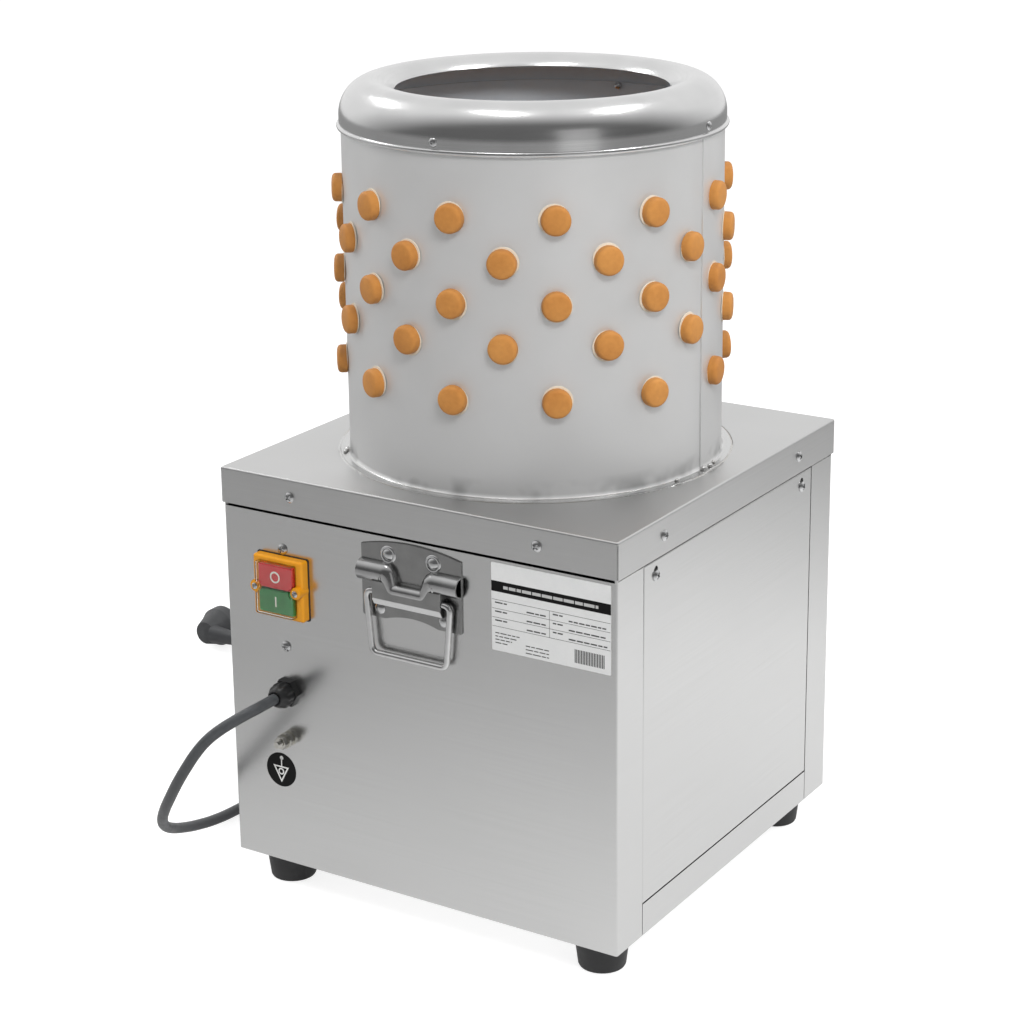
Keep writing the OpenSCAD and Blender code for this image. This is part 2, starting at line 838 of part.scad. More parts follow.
module spindle_bolts() {
    grip = flange_t + bridge_t;
    flats = 3.25 * bolt_r;
    bolt_head_h = 1.3 * bolt_r;
    nut_h = 1.6 * bolt_r;
    color("#9a9c9e")
        at_spindle_bolts() translate([0, 0, bridge_z]) {
            translate([0, 0, grip]) hexagon(flats, bolt_head_h);
            translate([0, 0, -nut_h - 1.5]) cylinder(r = bolt_r, h = grip + nut_h + 1.5);
            translate([0, 0, -nut_h])
                difference() {
                    hexagon(flats, nut_h);
                    translate([0, 0, -1]) cylinder(r = bolt_r + fit, h = nut_h + 2);
                }
        }
}

module bearing_bridge() {
    color("#a9acae")
        difference() {
            union() {
                bar([-bridge_half, -inner, bridge_z], [bridge_half, inner, bridge_z + bridge_t]);
                for (x = [-bridge_half, bridge_half - 3])
                    bar([x, -inner, bridge_z - bridge_lip], [x + 3, inner, bridge_z + bridge_t]);
            }
            translate([0, 0, bridge_z - 1]) cylinder(r = bearing_d / 2 - 1, h = bridge_t + 2);
            at_spindle_bolts()
                translate([0, 0, bridge_z - 1]) cylinder(r = bolt_r + hole_gap, h = bridge_t + 2);
        }
}

// Drive

// Half outline of a grooved pulley with a hub, turned round z
module pulley(outer_r, hub_r, hub_up, hub_down, bore) {
    half_w = belt_w / 2 + belt_gap;
    rotate_extrude()
        difference() {
            union() {
                translate([bore, 0]) square([outer_r - bore, pulley_t]);
                translate([bore, -hub_down]) square([hub_r - bore, pulley_t + hub_up + hub_down]);
            }
            translate([outer_r, pulley_t / 2])
                polygon([[1, half_w + 1.6], [-groove, half_w], [-groove, -half_w], [1, -half_w - 1.6]]);
        }
}

module driven_pulley() {
    color("#7d8185")
        difference() {
            translate([0, 0, pulley_z]) pulley(pulley_d / 2, shaft_r + 12, 6, 10, shaft_r + fit);
            for (turn = [0:60:300])
                rotate(turn)
                    translate([pulley_d / 4 + 4, 0, pulley_z - 1]) cylinder(r = 14, h = pulley_t + 2);
        }
}

module motor_pulley() {
    color("#7d8185")
        translate([motor_at[0], motor_at[1], pulley_z])
            pulley(motor_pulley_d / 2, motor_shaft_r + 5, 2, 2, motor_shaft_r + fit);
}

module belt_outline(out) {
    hull() {
        circle(r = belt_in + out, $fn = 96);
        translate(motor_at) circle(r = motor_belt_in + out, $fn = 48);
    }
}

module drive_belt() {
    color("#202122")
        translate([0, 0, belt_z - belt_w / 2])
            linear_extrude(belt_w)
                difference() {
                    belt_outline(belt_h);
                    belt_outline(0);
                }
}

module motor_shaft() {
    color("#a2a5a8")
        translate([motor_at[0], motor_at[1], motor_top - bell_h + 4])
            cylinder(r = motor_shaft_r, h = pulley_z + pulley_t + 4 - motor_top + bell_h - 4);
}

module motor_stator() {
    fins = 24;
    low = motor_z + bell_h;
    color("#5f6970") {
        translate([motor_at[0], motor_at[1], low])
            linear_extrude(motor_top - bell_h - low)
                union() {
                    circle(r = motor_r - 7);
                    for (i = [0:fins - 1])
                        rotate(360 * i / fins) translate([motor_r - 9, -1.2]) square([8, 2.4]);
                }
        bar([terminal_x, motor_at[1] - 15, terminal_z - 15],
            [motor_at[0] - motor_r + 12, motor_at[1] + 15, terminal_z + 15]);
    }
}

module motor_upper_bell() {
    color("#737c82")
        translate([motor_at[0], motor_at[1], motor_top - bell_h])
            difference() {
                union() {
                    cylinder(r = motor_r, h = bell_h);
                    cylinder(r = motor_shaft_r + 10, h = bell_h + motor_boss_h);
                }
                translate([0, 0, 2]) cylinder(r = motor_shaft_r + fit, h = bell_h + motor_boss_h);
            }
}

module motor_lower_bell() {
    color("#737c82") translate([motor_at[0], motor_at[1], motor_z]) cylinder(r = motor_r, h = bell_h);
}

module motor_foot() {
    edge = 10;
    color("#8a8d90")
        difference() {
            translate([motor_at[0] - motor_bolt_x - edge, motor_at[1] - motor_bolt_y - edge, floor_z])
                cube([2 * (motor_bolt_x + edge), 2 * (motor_bolt_y + edge), motor_foot_t]);
            at_motor_bolts() cylinder(r = 3 + hole_gap, h = motor_z + 1);
        }
}

module motor_bolts() {
    color("#9a9c9e")
        at_motor_bolts() {
            translate([0, 0, foot_h - 4]) hexagon(10, 4);
            translate([0, 0, foot_h - 1]) cylinder(r = 3, h = motor_z + 6 - foot_h + 1);
            translate([0, 0, motor_z])
                difference() {
                    hexagon(10, 5);
                    translate([0, 0, -1]) cylinder(r = 3 + fit, h = 7);
                }
        }
}

module capacitor() {
    can_r = 18;
    can_h = 76;
    color("#d9dadb")
        translate([inner - can_r - 29, inner - 107, floor_z])
            rotate_extrude()
                polygon([
                    [0, 0], [can_r, 0], [can_r, can_h - 3], [can_r - 3, can_h],
                    [7, can_h], [7, can_h + 8], [0, can_h + 8]
                ]);
}

// Hopper

module hopper_plan(wall) {
    x = hopper_x - wall;
    y = hopper_half - wall;
    mouth = outlet_half + sheet - wall;
    polygon([
        [x, -y], [x, y], [-taper_in, y], [-taper_out, mouth], [-x, mouth],
        [-x, -mouth], [-taper_out, -mouth], [-taper_in, -y]
    ]);
}

// Everything above the hopper floor's upper face, or above that face lowered by a depth
module above_floor(depth) {
    reach = 2 * case_w;
    translate([hopper_x, 0, hopper_high - depth])
        rotate([0, -hopper_slope, 0])
            translate([-reach, -reach / 2, 0]) cube([2 * reach, reach, reach]);
}

module feather_hopper() {
    floor_t = sheet / cos(hopper_slope);
    mouth = outlet_half + sheet;
    color("#b4b7b9")
        difference() {
            intersection() {
                union() {
                    translate([0, 0, foot_h]) linear_extrude(lid_under - foot_h) hopper_plan(0);
                    bar([-outlet_end, -mouth, foot_h], [-hopper_x, mouth, outlet_top]);
                }
                above_floor(floor_t);
            }
            difference() {
                intersection() {
                    union() {
                        translate([0, 0, foot_h]) linear_extrude(lid_under) hopper_plan(sheet);
                        bar([-outlet_end - 1, -outlet_half, foot_h],
                            [-hopper_x + 2 * sheet, outlet_half, outlet_top + 1]);
                    }
                    above_floor(0);
                }
                cylinder(r = collar_r + sheet, h = collar_top);
            }
            cylinder(r = collar_r, h = lid_z);
        }
}

// Switch

module switch_body() {
    body_w = window_w - 2;
    body_h = window_h - 2;
    color("#2a2a2c")
        difference() {
            on_front(control_x, switch_z)
                translate([-body_w / 2, -body_h / 2, -switch_deep]) cube([body_w, body_h, switch_deep]);
            for (side = [-1, 1])
                on_front(control_x, switch_z + side * button_step)
                    translate([0, 0, -stem_len - 4]) cylinder(r = stem_r + fit, h = stem_len + 5);
        }
}

module switch_bezel() {
    color("#f2a71b")
        difference() {
            union() {
                on_front(control_x, switch_z)
                    translate([-bezel_w / 2, -bezel_h / 2, 0]) cube([bezel_w, bezel_h, bezel_t]);
                for (side = [-1, 1])
                    on_front(control_x + side * lobe_x, switch_z)
                        cylinder(r = lobe_r, h = bezel_t + lobe_proud);
            }
            on_front(control_x, switch_z) {
                difference() {
                    translate([-window_w / 2, -window_h / 2, -1]) cube([window_w, window_h, bezel_t + 2]);
                    for (side = [-1, 1])
                        translate([side * lobe_x, 0, -2]) cylinder(r = lobe_r, h = bezel_t + 4);
                }
                for (side = [-1, 1]) translate([side * lobe_x, 0, 1]) cylinder(r = 1.2 + hole_gap, h = 20);
            }
        }
}

// The clear boot over both buttons, open behind, with its corners cut round the screw lobes
module switch_cover() {
    w = window_w + 2 * cover_wall + 0.8;
    h = window_h + 2 * cover_wall + 0.8;
    color("#f4f1e6", 0.35)
        on_front(control_x, switch_z)
            translate([0, 0, bezel_t])
                difference() {
                    translate([-w / 2, -h / 2, 0]) cube([w, h, cover_proud + cover_wall]);
                    translate([cover_wall - w / 2, cover_wall - h / 2, -1])
                        cube([w - 2 * cover_wall, h - 2 * cover_wall, cover_proud + 1]);
                    for (side = [-1, 1])
                        translate([side * lobe_x, 0, -1]) cylinder(r = lobe_r + hole_gap, h = 20);
                }
}

module button(side) {
    difference() {
        on_front(control_x, switch_z + side * button_step) {
            translate([-button_w / 2, -button_h / 2, button_travel + 1])
                cube([button_w, button_h, bezel_t + button_proud - button_travel - 1]);
            translate([0, 0, -stem_len]) cylinder(r = stem_r, h = stem_len + button_travel + 2);
        }
        on_front(control_x, switch_z)
            for (x = [-lobe_x, lobe_x]) translate([x, 0, -1]) cylinder(r = lobe_r + button_gap, h = 30);
    }
}

module stop_button() { color("#c8202f") button(1); }
module start_button() { color("#1f7a45") button(-1); }

module bezel_screws() {
    color("#b9babb")
        for (side = [-1, 1])
            on_front(control_x + side * lobe_x, switch_z)
                translate([0, 0, bezel_t + lobe_proud]) pan_screw(2.6, 1.6, 1.2, 8);
}

// Handles

module handle_outline() {
    w = handle_w / 2;
    top_r = (w * w + arch_up * arch_up) / (2 * arch_up);
    leg_in = 24;
    low_r = (leg_in * leg_in + arch_down * arch_down) / (2 * arch_down);
    difference() {
        intersection() {
            translate([-w, -handle_down]) square([2 * w, handle_up + handle_down]);
            translate([0, handle_up - top_r]) circle(r = top_r, $fn = 128);
        }
        translate([0, arch_down - handle_down - low_r]) circle(r = low_r, $fn = 128);
    }
}

// Section of the pressing, height from the pivot across and distance from the casing up
module press_face(top) {
    polygon([
        [top, 0], [top, press_out - 0.6], [face_low, press_out - 0.6], [face_foot, sheet], [face_foot, 0]
    ]);
}
module roll_section(r) {
    intersection() {
        translate([roll_up, sheet]) circle(r = r);
        translate([0, sheet]) square([2 * roll_up, press_out]);
    }
}
module pressed(from, to) {
    translate([from, 0, 0]) rotate([90, 0, 90]) linear_extrude(to - from) children();
}

// The pressed plate: a rolled hood on each side, a scoop between them and a face that holds the bail's pins
module handle_plate() {
    color("#b7b9bb")
        difference() {
            on_front(0, handle_z) {
                linear_extrude(sheet) handle_outline();
                pressed(-knuckle_in, knuckle_in) press_face(scoop_up);
                pressed(-knuckle_in, knuckle_in)
                    translate([scoop_up, press_out - scoop_r]) circle(r = scoop_r);
                for (side = [0, 1])
                    mirror([side, 0, 0]) {
                        pressed(knuckle_in, knuckle_out) {
                            press_face(face_top);
                            roll_section(roll_r_out);
                        }
                        pressed(knuckle_in, handle_w / 2)
                            difference() {
                                roll_section(roll_r_out);
                                translate([roll_up, sheet]) circle(r = roll_r_out - sheet);
                            }
                    }
            }
            on_front(0, handle_z)
                translate([-handle_w, 0, pivot_off])
                    rotate([0, 90, 0]) cylinder(r = wire_r + fit, h = 2 * handle_w);
            at_handle_rivets() translate([0, 0, -1]) cylinder(r = rivet_r + hole_gap, h = 10);
        }
}

module handle_bail() {
    pin_in = knuckle_in + 2;
    color("#c9cacb")
        on_front(0, handle_z)
            translate([0, 0, pivot_off])
                bent_wire([
                    [-pin_in, 0], [-bail_w / 2, 0], [-bail_w / 2, -bail_drop], [bail_w / 2, -bail_drop],
                    [bail_w / 2, 0], [pin_in, 0]
                ], bail_corner, wire_r);
}

module front_handle_plate() { handle_plate(); }
module rear_handle_plate() { rotate(180) handle_plate(); }
module front_handle_bail() { handle_bail(); }
module rear_handle_bail() { rotate(180) handle_bail(); }

module handle_rivets() {
    color("#c0c1c2") at_handle_rivets() translate([0, 0, sheet]) rivet(4.6, 1.8, rivet_r, 2 * sheet + 0.2);
}

// Screws on the sheet metal

module sheet_screws() {
    color("#c0c1c2") {
        at_lid_screws() sheet_screw();
        at_panel_screws() sheet_screw();
        at_switch_screws() sheet_screw();
    }
}

// Fittings on the front

module cable_gland() {
    nose = -half - gland_nose;
    color("#161617")
        on_front(control_x, gland_z) {
            hexagon(24, gland_flange_t);
            rotate_extrude()
                polygon([
                    [0, gland_flange_t], [12, gland_flange_t], [12, nose - 6], [10.5, nose - 2.5],
                    [cord_r + 2, nose], [0, nose]
                ]);
            translate([0, 0, -sheet]) cylinder(r = thread_r, h = sheet + 1);
            translate([0, 0, -sheet - 6]) hexagon(22, 6);
        }
}

// The earth stud: its core runs through both nuts, and its free end takes a bonding lead's eye
module earth_stud() {
    stack = [[false, 0], [true, 1.2], [false, 6.2], [false, 7.4], [true, 8.6]];
    color("#b3b09f")
        on_front(control_x, stud_z) {
            translate([0, 0, -sheet - 7]) cylinder(r = stud_core, h = sheet + 7 + stud_free);
            translate([0, 0, stud_free]) cylinder(r = 3, h = stud_out - stud_free);
            for (step = stack)
                translate([0, 0, step[1]])
                    difference() {
                        if (step[0]) hexagon(10, 5);
                        else cylinder(r = 6.5, h = 1.2);
                        translate([0, 0, -1]) cylinder(r = stud_core + fit, h = 9);
                    }
            translate([0, 0, -sheet - 5])
                difference() {
                    hexagon(10, 5);
                    translate([0, 0, -1]) cylinder(r = stud_core + fit, h = 9);
                }
        }
}

// The rating label and the round earth mark, both thin plates
module panel_marks() {
    film = 0.3;
    label_x = half - 5 - label_w / 2;
    label_z = lid_z - skirt_h - 5 - label_h / 2;
    color("#e9eaea")
        on_front(label_x, label_z) translate([-label_w / 2, -label_h / 2, 0]) cube([label_w, label_h, film]);
    color("#151515") on_front(control_x - 10, stud_z - 30) cylinder(r = mark_d / 2, h = film);
}

// Mains lead

module mains_cord() {
    color("#4a4b4d") tube(cord_route, cord_r, 10, [0, 0, 1]);
    echo(mains_cord_length = route_length(cord_route));
}

// The leads inside the casing: gland to switch, and switch to motor
module inner_leads() {
    color("#8a8b8c") {
        tube(switch_route, 3.5, 10, [1, 0, 0]);
        tube(motor_route, 3.5, 10, [0, 1, 0]);
    }
}

// A side-entry plug lying on its rim, pins to the rear
module mains_plug() {
    pin_r = 2.4;
    pin_off = 9.5;
    color("#3a3b3d")
        translate([plug_at[0], plug_at[1], plug_r]) {
            rotate([-90, 0, 0])
                rotate_extrude()
                    polygon([
                        [0, 0], [plug_r - 1.5, 0], [plug_r, -1.5], [plug_r, -12], [plug_r - 3, -18],
                        [plug_r - 8, -plug_deep], [0, -plug_deep - 2]
                    ]);
            for (x = [-pin_off, pin_off])
                translate([x, -2, 0]) rotate([-90, 0, 0]) cylinder(r = pin_r, h = 21);
            translate([plug_r - 12, -plug_cord_in, 0])
                rotate([0, 90, 0]) cylinder(r1 = 9, r2 = cord_r + 1.5, h = plug_collar + 12);
        }
}

front_panel();
rear_panel();
base_tray();
lid();
right_panel();
left_panel();
top_rails();
drum();
drum_weld();
drum_rim();
rim_rivets();
finger_row_1();
finger_row_2();
finger_row_3();
finger_row_4();
finger_row_5();
feather_plate();
plate_fingers();
plate_hub();
plate_screws();
plate_nut();
rain_skirt();
spindle_shaft();
spindle_housing();
upper_bearing();
lower_bearing();
spindle_bolts();
bearing_bridge();
driven_pulley();
drive_belt();
motor_pulley();
motor_shaft();
motor_stator();
motor_upper_bell();
motor_lower_bell();
motor_foot();
motor_bolts();
capacitor();
feather_hopper();
switch_body();
switch_bezel();
switch_cover();
stop_button();
start_button();
bezel_screws();
front_handle_plate();
front_handle_bail();
rear_handle_plate();
rear_handle_bail();
handle_rivets();
sheet_screws();
feet();
foot_bolts();
cable_gland();
earth_stud();
panel_marks();
inner_leads();
mains_cord();
mains_plug();
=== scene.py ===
# %% [markdown]
# # A poultry plucker, dressed in Blender
# The machine is a rolled stainless drum full of rubber fingers on a square stainless casing. Its CAD solids are
# loaded first as a fixed frame in metres, and every piece below is modelled in that same frame, so nothing has
# to be fitted by eye. This lesson goes from the camera and the lead to the sheet metal, the drum, the fingers
# and the small fittings on the front.

# %% Load the frame
import json
import math
import random

import bmesh
import bpy
from mathutils import Matrix, Vector, noise


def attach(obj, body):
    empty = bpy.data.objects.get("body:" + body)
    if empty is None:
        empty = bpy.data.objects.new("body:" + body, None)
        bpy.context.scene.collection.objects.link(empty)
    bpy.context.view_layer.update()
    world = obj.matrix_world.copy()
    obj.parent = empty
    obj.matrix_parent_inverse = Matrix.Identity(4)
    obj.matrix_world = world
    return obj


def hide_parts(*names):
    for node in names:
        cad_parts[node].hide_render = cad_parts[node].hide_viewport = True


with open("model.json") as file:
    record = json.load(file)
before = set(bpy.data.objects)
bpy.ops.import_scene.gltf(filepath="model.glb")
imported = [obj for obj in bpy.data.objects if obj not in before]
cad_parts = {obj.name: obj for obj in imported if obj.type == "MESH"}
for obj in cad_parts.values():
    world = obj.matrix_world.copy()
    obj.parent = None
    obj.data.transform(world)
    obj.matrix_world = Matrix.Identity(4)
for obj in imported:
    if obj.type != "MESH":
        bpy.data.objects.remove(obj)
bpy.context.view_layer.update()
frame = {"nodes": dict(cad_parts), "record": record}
mm = 0.001

# %% [markdown]
# ## The camera
# The picture was taken from the front right and a little above, with a long lens, and its upright edges are
# nearly parallel. A small vertical shift of the lens gives that look. Azimuth, pitch and roll are turned into
# the three axes of the camera, and these become its matrix.

# %% Camera
bpy.ops.object.select_all(action="DESELECT")
bpy.ops.object.camera_add()
camera = bpy.context.object
camera.name = "studio_camera"
camera.data.lens = 87.12
camera.data.sensor_width = 36
camera.data.shift_y = -0.0996
camera.data.clip_end = 50
azimuth, pitch, roll = math.radians(32.434), math.radians(16.258), math.radians(-0.684)
look_back = Vector((math.sin(azimuth) * math.cos(pitch), -math.cos(azimuth) * math.cos(pitch), math.sin(pitch)))
look_right = Vector((math.cos(azimuth), math.sin(azimuth), 0))
look_up = look_back.cross(look_right)
turned_right = math.cos(roll) * look_right + math.sin(roll) * look_up
turned_up = math.cos(roll) * look_up - math.sin(roll) * look_right
camera_axes = Matrix((turned_right, turned_up, look_back)).transposed().to_4x4()
camera.matrix_world = Matrix.Translation(Vector((1008.2, -1621.5, 939.7)) * mm) @ camera_axes
scene = bpy.context.scene
scene.camera = camera
scene.view_settings.view_transform = "Standard"
print("camera at", [round(value, 3) for value in camera.location])

# %% [markdown]
# ## Colours and nodes
# Colours are written as sRGB hex values, as a paint chart gives them, and one function turns them into the
# linear values that Blender's shaders use. A second small function adds any node with its settings and links.
# Every finish ends alike: a tint, a gloss that follows a noise and a fine relief go to the shader.

# %% Colour and node helpers
def paint(code):
    parts = [int(code[place:place + 2], 16) / 255 for place in (1, 3, 5)]
    linear = [part / 12.92 if part <= 0.04045 else ((part + 0.055) / 1.055) ** 2.4 for part in parts]
    return (*linear, 1.0)


def add_node(tree, kind, values=None, links=None, **settings):
    made = tree.nodes.new(kind)
    for name, setting in settings.items():
        setattr(made, name, setting)
    for socket, value in (values or {}).items():
        made.inputs[socket].default_value = value
    for socket, source in (links or {}).items():
        tree.links.new(source, made.inputs[socket])
    return made


print("white paint is", paint("#ffffff"))

# %% Start and end of a finish
# A colour Mix node takes its share at input 0 and its two colours at inputs 6 and 7, and gives output 2.
mix_share, mix_first, mix_second, mix_result = 0, 6, 7, 2
# Most of a noise texture's values lie between these two.
noise_low, noise_high = 0.3, 0.7


def new_finish(name, **values):
    finish = bpy.data.materials.new(name)
    finish.use_nodes = True
    tree = finish.node_tree
    shader = tree.nodes["Principled BSDF"]
    for socket, value in values.items():
        shader.inputs[socket.replace("_", " ")].default_value = value
    place = add_node(tree, "ShaderNodeTexCoord").outputs["Object"]
    return finish, tree, shader, place


def surfaced(tree, shader, tint, wear, rough, relief=None, strength=0.0, depth_mm=0.0):
    tree.links.new(tint, shader.inputs["Base Color"])
    gloss = add_node(tree, "ShaderNodeMapRange", {"From Min": noise_low, "From Max": noise_high,
                                                  "To Min": rough[0], "To Max": rough[1]}, {"Value": wear})
    tree.links.new(gloss.outputs["Result"], shader.inputs["Roughness"])
    if relief:
        bump = add_node(tree, "ShaderNodeBump", {"Strength": strength, "Distance": depth_mm * mm}, {"Height": relief})
        tree.links.new(bump.outputs["Normal"], shader.inputs["Normal"])


print("a noise is read from", noise_low, "to", noise_high)

# %% [markdown]
# ## The lead
# A dark grey PVC lead leaves the gland, bends down past the casing's front left corner and runs back along the
# floor to its plug. It is one smooth curve through the route's points, with the lead's round section as bevel.
# PVC sheath is extruded, so it is smooth with a soft sheen and faint scuffs along its length.

# %% Lead material
sheath_finish, tree, shader, place = new_finish("extruded PVC sheath", Roughness=0.42)
scuffs = add_node(tree, "ShaderNodeTexNoise", {"Scale": 1 / (6 * mm), "Detail": 4.0}, {"Vector": place})
tint = add_node(tree, "ShaderNodeMix", {mix_first: paint("#3f4143"), mix_second: paint("#55575a")},
                {mix_share: scuffs.outputs["Fac"]}, data_type="RGBA")
surfaced(tree, shader, tint.outputs[mix_result], scuffs.outputs["Fac"], (0.34, 0.5))
print("finish:", sheath_finish.name)

# %% Lead curve
lead_route = [
    (-122, -196.5, 177.5), (-122, -206, 177.5), (-122.8, -217, 177), (-126.6, -227.2, 174.7),
    (-133, -236.2, 170.2), (-141.5, -242.8, 163.5), (-151, -246.5, 154.5), (-161, -248, 142.5),
    (-172, -247.5, 127.5), (-184.5, -244.5, 110.5), (-198.5, -238, 92), (-213.5, -228.5, 73.5),
    (-228, -215.5, 56), (-240.5, -199, 40.5), (-249.5, -180, 28), (-254.5, -159, 18.5), (-256.5, -136.5, 11.5),
    (-256.5, -113, 7), (-256, -89, 5), (-255, -65, 5), (-255, -41, 5), (-256.5, -17, 5), (-260, 7, 5),
    (-265.5, 31, 5), (-273.5, 54, 5), (-284, 76, 5), (-297, 97, 5), (-312, 116, 5), (-329, 134, 5),
    (-348, 150, 5), (-368, 164, 5), (-389, 176, 6), (-411, 185.5, 8), (-433, 193, 12), (-453, 199, 16.5),
    (-468, 203, 19.2), (-478.5, 203, 19.5),
]
lead_line = bpy.data.curves.new("mains_lead", "CURVE")
lead_line.dimensions = "3D"
lead_line.bevel_depth = 4.5 * mm
lead_line.bevel_resolution = 5
lead_line.resolution_u = 6
lead_line.use_fill_caps = True
lead_spline = lead_line.splines.new("BEZIER")
lead_spline.bezier_points.add(len(lead_route) - 1)
for knot, point in zip(lead_spline.bezier_points, lead_route):
    knot.co = Vector(point) * mm
    knot.handle_left_type = knot.handle_right_type = "AUTO"
lead = bpy.data.objects.new("mains_lead", lead_line)
scene.collection.objects.link(lead)
lead_line.materials.append(sheath_finish)
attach(lead, "casing")
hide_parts("mains_cord")

# %% [markdown]
# ## Studio
# The picture has a plain white ground. The camera sees the floor and the world nearly white, and the floor keeps
# the soft shadow under the feet. Stainless steel shows what stands round it, so its mirror image matters more
# than the lamps: the floor is bright near the machine and fades outwards, and the world is bright at the back
# and overhead and dim on the side of the photographer. Three strip lamps overhead draw the thin highlights on
# the rim, an upright one draws a pale band below them, and a key lamp with two fills lights what isn't a mirror.

# %% Floor
bpy.ops.object.select_all(action="DESELECT")
bpy.ops.mesh.primitive_plane_add(size=14, location=(0, 0, -0.0005))
floor = bpy.context.object
floor.name = "studio_floor"
floor_finish, tree, shader, place = new_finish("pale studio sheet", Roughness=0.9, Specular_IOR_Level=0.0)
shader.inputs["Base Color"].default_value = paint("#b4b4b4")
shader.inputs["Emission Color"].default_value = (1, 1, 1, 1)
rays = add_node(tree, "ShaderNodeLightPath")
away = add_node(tree, "ShaderNodeVectorMath", {1: (0.3, 0.2, 0)}, {0: place}, operation="DISTANCE")
fade = add_node(tree, "ShaderNodeMapRange", {"From Min": 0.35, "From Max": 1.05, "To Min": 0.55, "To Max": 0.03},
                {"Value": away.outputs["Value"]})
mirrored = add_node(tree, "ShaderNodeMath", links={0: rays.outputs["Is Glossy Ray"], 1: fade.outputs["Result"]},
                    operation="MULTIPLY")
direct = add_node(tree, "ShaderNodeMath", operation="MAXIMUM",
                  links={0: rays.outputs["Is Camera Ray"], 1: rays.outputs["Is Transmission Ray"]})
white = add_node(tree, "ShaderNodeMath", {1: 0.8}, {0: direct.outputs[0]}, operation="MULTIPLY")
glow = add_node(tree, "ShaderNodeMath", links={0: white.outputs[0], 1: mirrored.outputs[0]}, operation="MAXIMUM")
tree.links.new(glow.outputs[0], shader.inputs["Emission Strength"])
floor.data.materials.append(floor_finish)
print("floor is", [round(side, 1) for side in floor.dimensions], "m")

# %% World
world = bpy.data.worlds.new("white studio")
scene.world = world
world.use_nodes = True
tree = world.node_tree
backdrop = tree.nodes["Background"]
backdrop.inputs["Color"].default_value = (1, 1, 1, 1)
rays = add_node(tree, "ShaderNodeLightPath")
heading = add_node(tree, "ShaderNodeTexCoord").outputs["Generated"]
forward = add_node(tree, "ShaderNodeVectorMath", {1: (0.54, -0.84, -0.9)}, {0: heading}, operation="DOT_PRODUCT")
around = add_node(tree, "ShaderNodeMapRange", {"From Min": -0.75, "From Max": 0.1, "To Min": 0.95, "To Max": 0.14},
                  {"Value": forward.outputs["Value"]})
lit = add_node(tree, "ShaderNodeMix", {"A": 0.6},
               {"Factor": rays.outputs["Is Glossy Ray"], "B": around.outputs["Result"]})
level = add_node(tree, "ShaderNodeMath", operation="MAXIMUM",
                 links={0: lit.outputs[0], 1: rays.outputs["Is Camera Ray"]})
tree.links.new(level.outputs[0], backdrop.inputs["Strength"])
print("world:", world.name)

# %% Lamps
def softbox(name, place, aim, size, power):
    bpy.ops.object.light_add(type="AREA", location=place)
    lamp = bpy.context.object
    lamp.name = name
    lamp.data.shape = "RECTANGLE"
    lamp.data.size, lamp.data.size_y = size
    lamp.data.energy = power
    lamp.rotation_euler = (Vector(aim) - Vector(place)).to_track_quat("-Z", "Y").to_euler()
    return lamp


# The key and the fills light rubber, print and matt steel, and stay out of the mirror images.
for name, place, size, power in (
        ("key_softbox", (1.35, -1.25, 2.1), (1.0, 0.6), 36),
        ("left_fill", (-1.8, -0.15, 1.0), (0.6, 0.9), 12),
        ("right_fill", (1.5, 1.05, 1.0), (0.6, 0.9), 9)):
    softbox(name, place, (0, 0, 0.35), size, power).visible_glossy = False
# The strips do the reverse: they show only in the mirror images.
for name, place, size, power in (
        ("left_strip", (-2.2, 0.3, 2.3), (0.9, 0.2), 6),
        ("middle_strip", (-0.15, -0.4, 2.3), (0.5, 0.14), 3),
        ("right_strip", (0.75, 0.55, 2.3), (0.6, 0.2), 5),
        ("upright_strip", (1.43, -0.91, 0.8), (0.7, 1.2), 1)):
    softbox(name, place, (0, 0, 0.6), size, power).visible_diffuse = False

# %% [markdown]
# ## Sheet metal finishes
# The casing is cold rolled stainless sheet. It mirrors softly, with a fine grain along the rolling direction and
# faint smears where hands wiped it. Metal has no colour of its own, only a grey tint on what it mirrors, so the
# noise goes mostly into its roughness. Grain is about 0.1 mm wide; it is drawn 1.6 mm wide so that it shows. The
# lid is wiped most often, so it is duller than the panels.

# %% Satin stainless sheet
def stainless(name, low, high):
    made, tree, shader, place = new_finish(name, Metallic=1.0, Roughness=(low + high) / 2)
    grain_place = add_node(tree, "ShaderNodeMapping", {"Scale": (1 / (160 * mm), 1 / (160 * mm), 1 / (1.6 * mm))},
                           {"Vector": place})
    grain = add_node(tree, "ShaderNodeTexNoise", {"Scale": 1.0, "Detail": 3.0}, {"Vector": grain_place.outputs[0]})
    smears = add_node(tree, "ShaderNodeTexNoise", {"Scale": 1 / (90 * mm), "Detail": 3.0}, {"Vector": place})
    tone = add_node(tree, "ShaderNodeMix", {"Factor": 0.4}, {"A": grain.outputs["Fac"], "B": smears.outputs["Fac"]})
    tint = add_node(tree, "ShaderNodeMix", {mix_first: paint("#c9c9c8"), mix_second: paint("#d5d5d5")},
                    {mix_share: tone.outputs[0]}, data_type="RGBA")
    surfaced(tree, shader, tint.outputs[mix_result], smears.outputs["Fac"], (low, high), grain.outputs["Fac"],
             0.06, 0.02)
    return made


sheet_finish = stainless("satin stainless sheet", 0.2, 0.268)
lid_finish = stainless("wiped stainless lid", 0.34, 0.44)
print("finishes:", sheet_finish.name, "and", lid_finish.name)

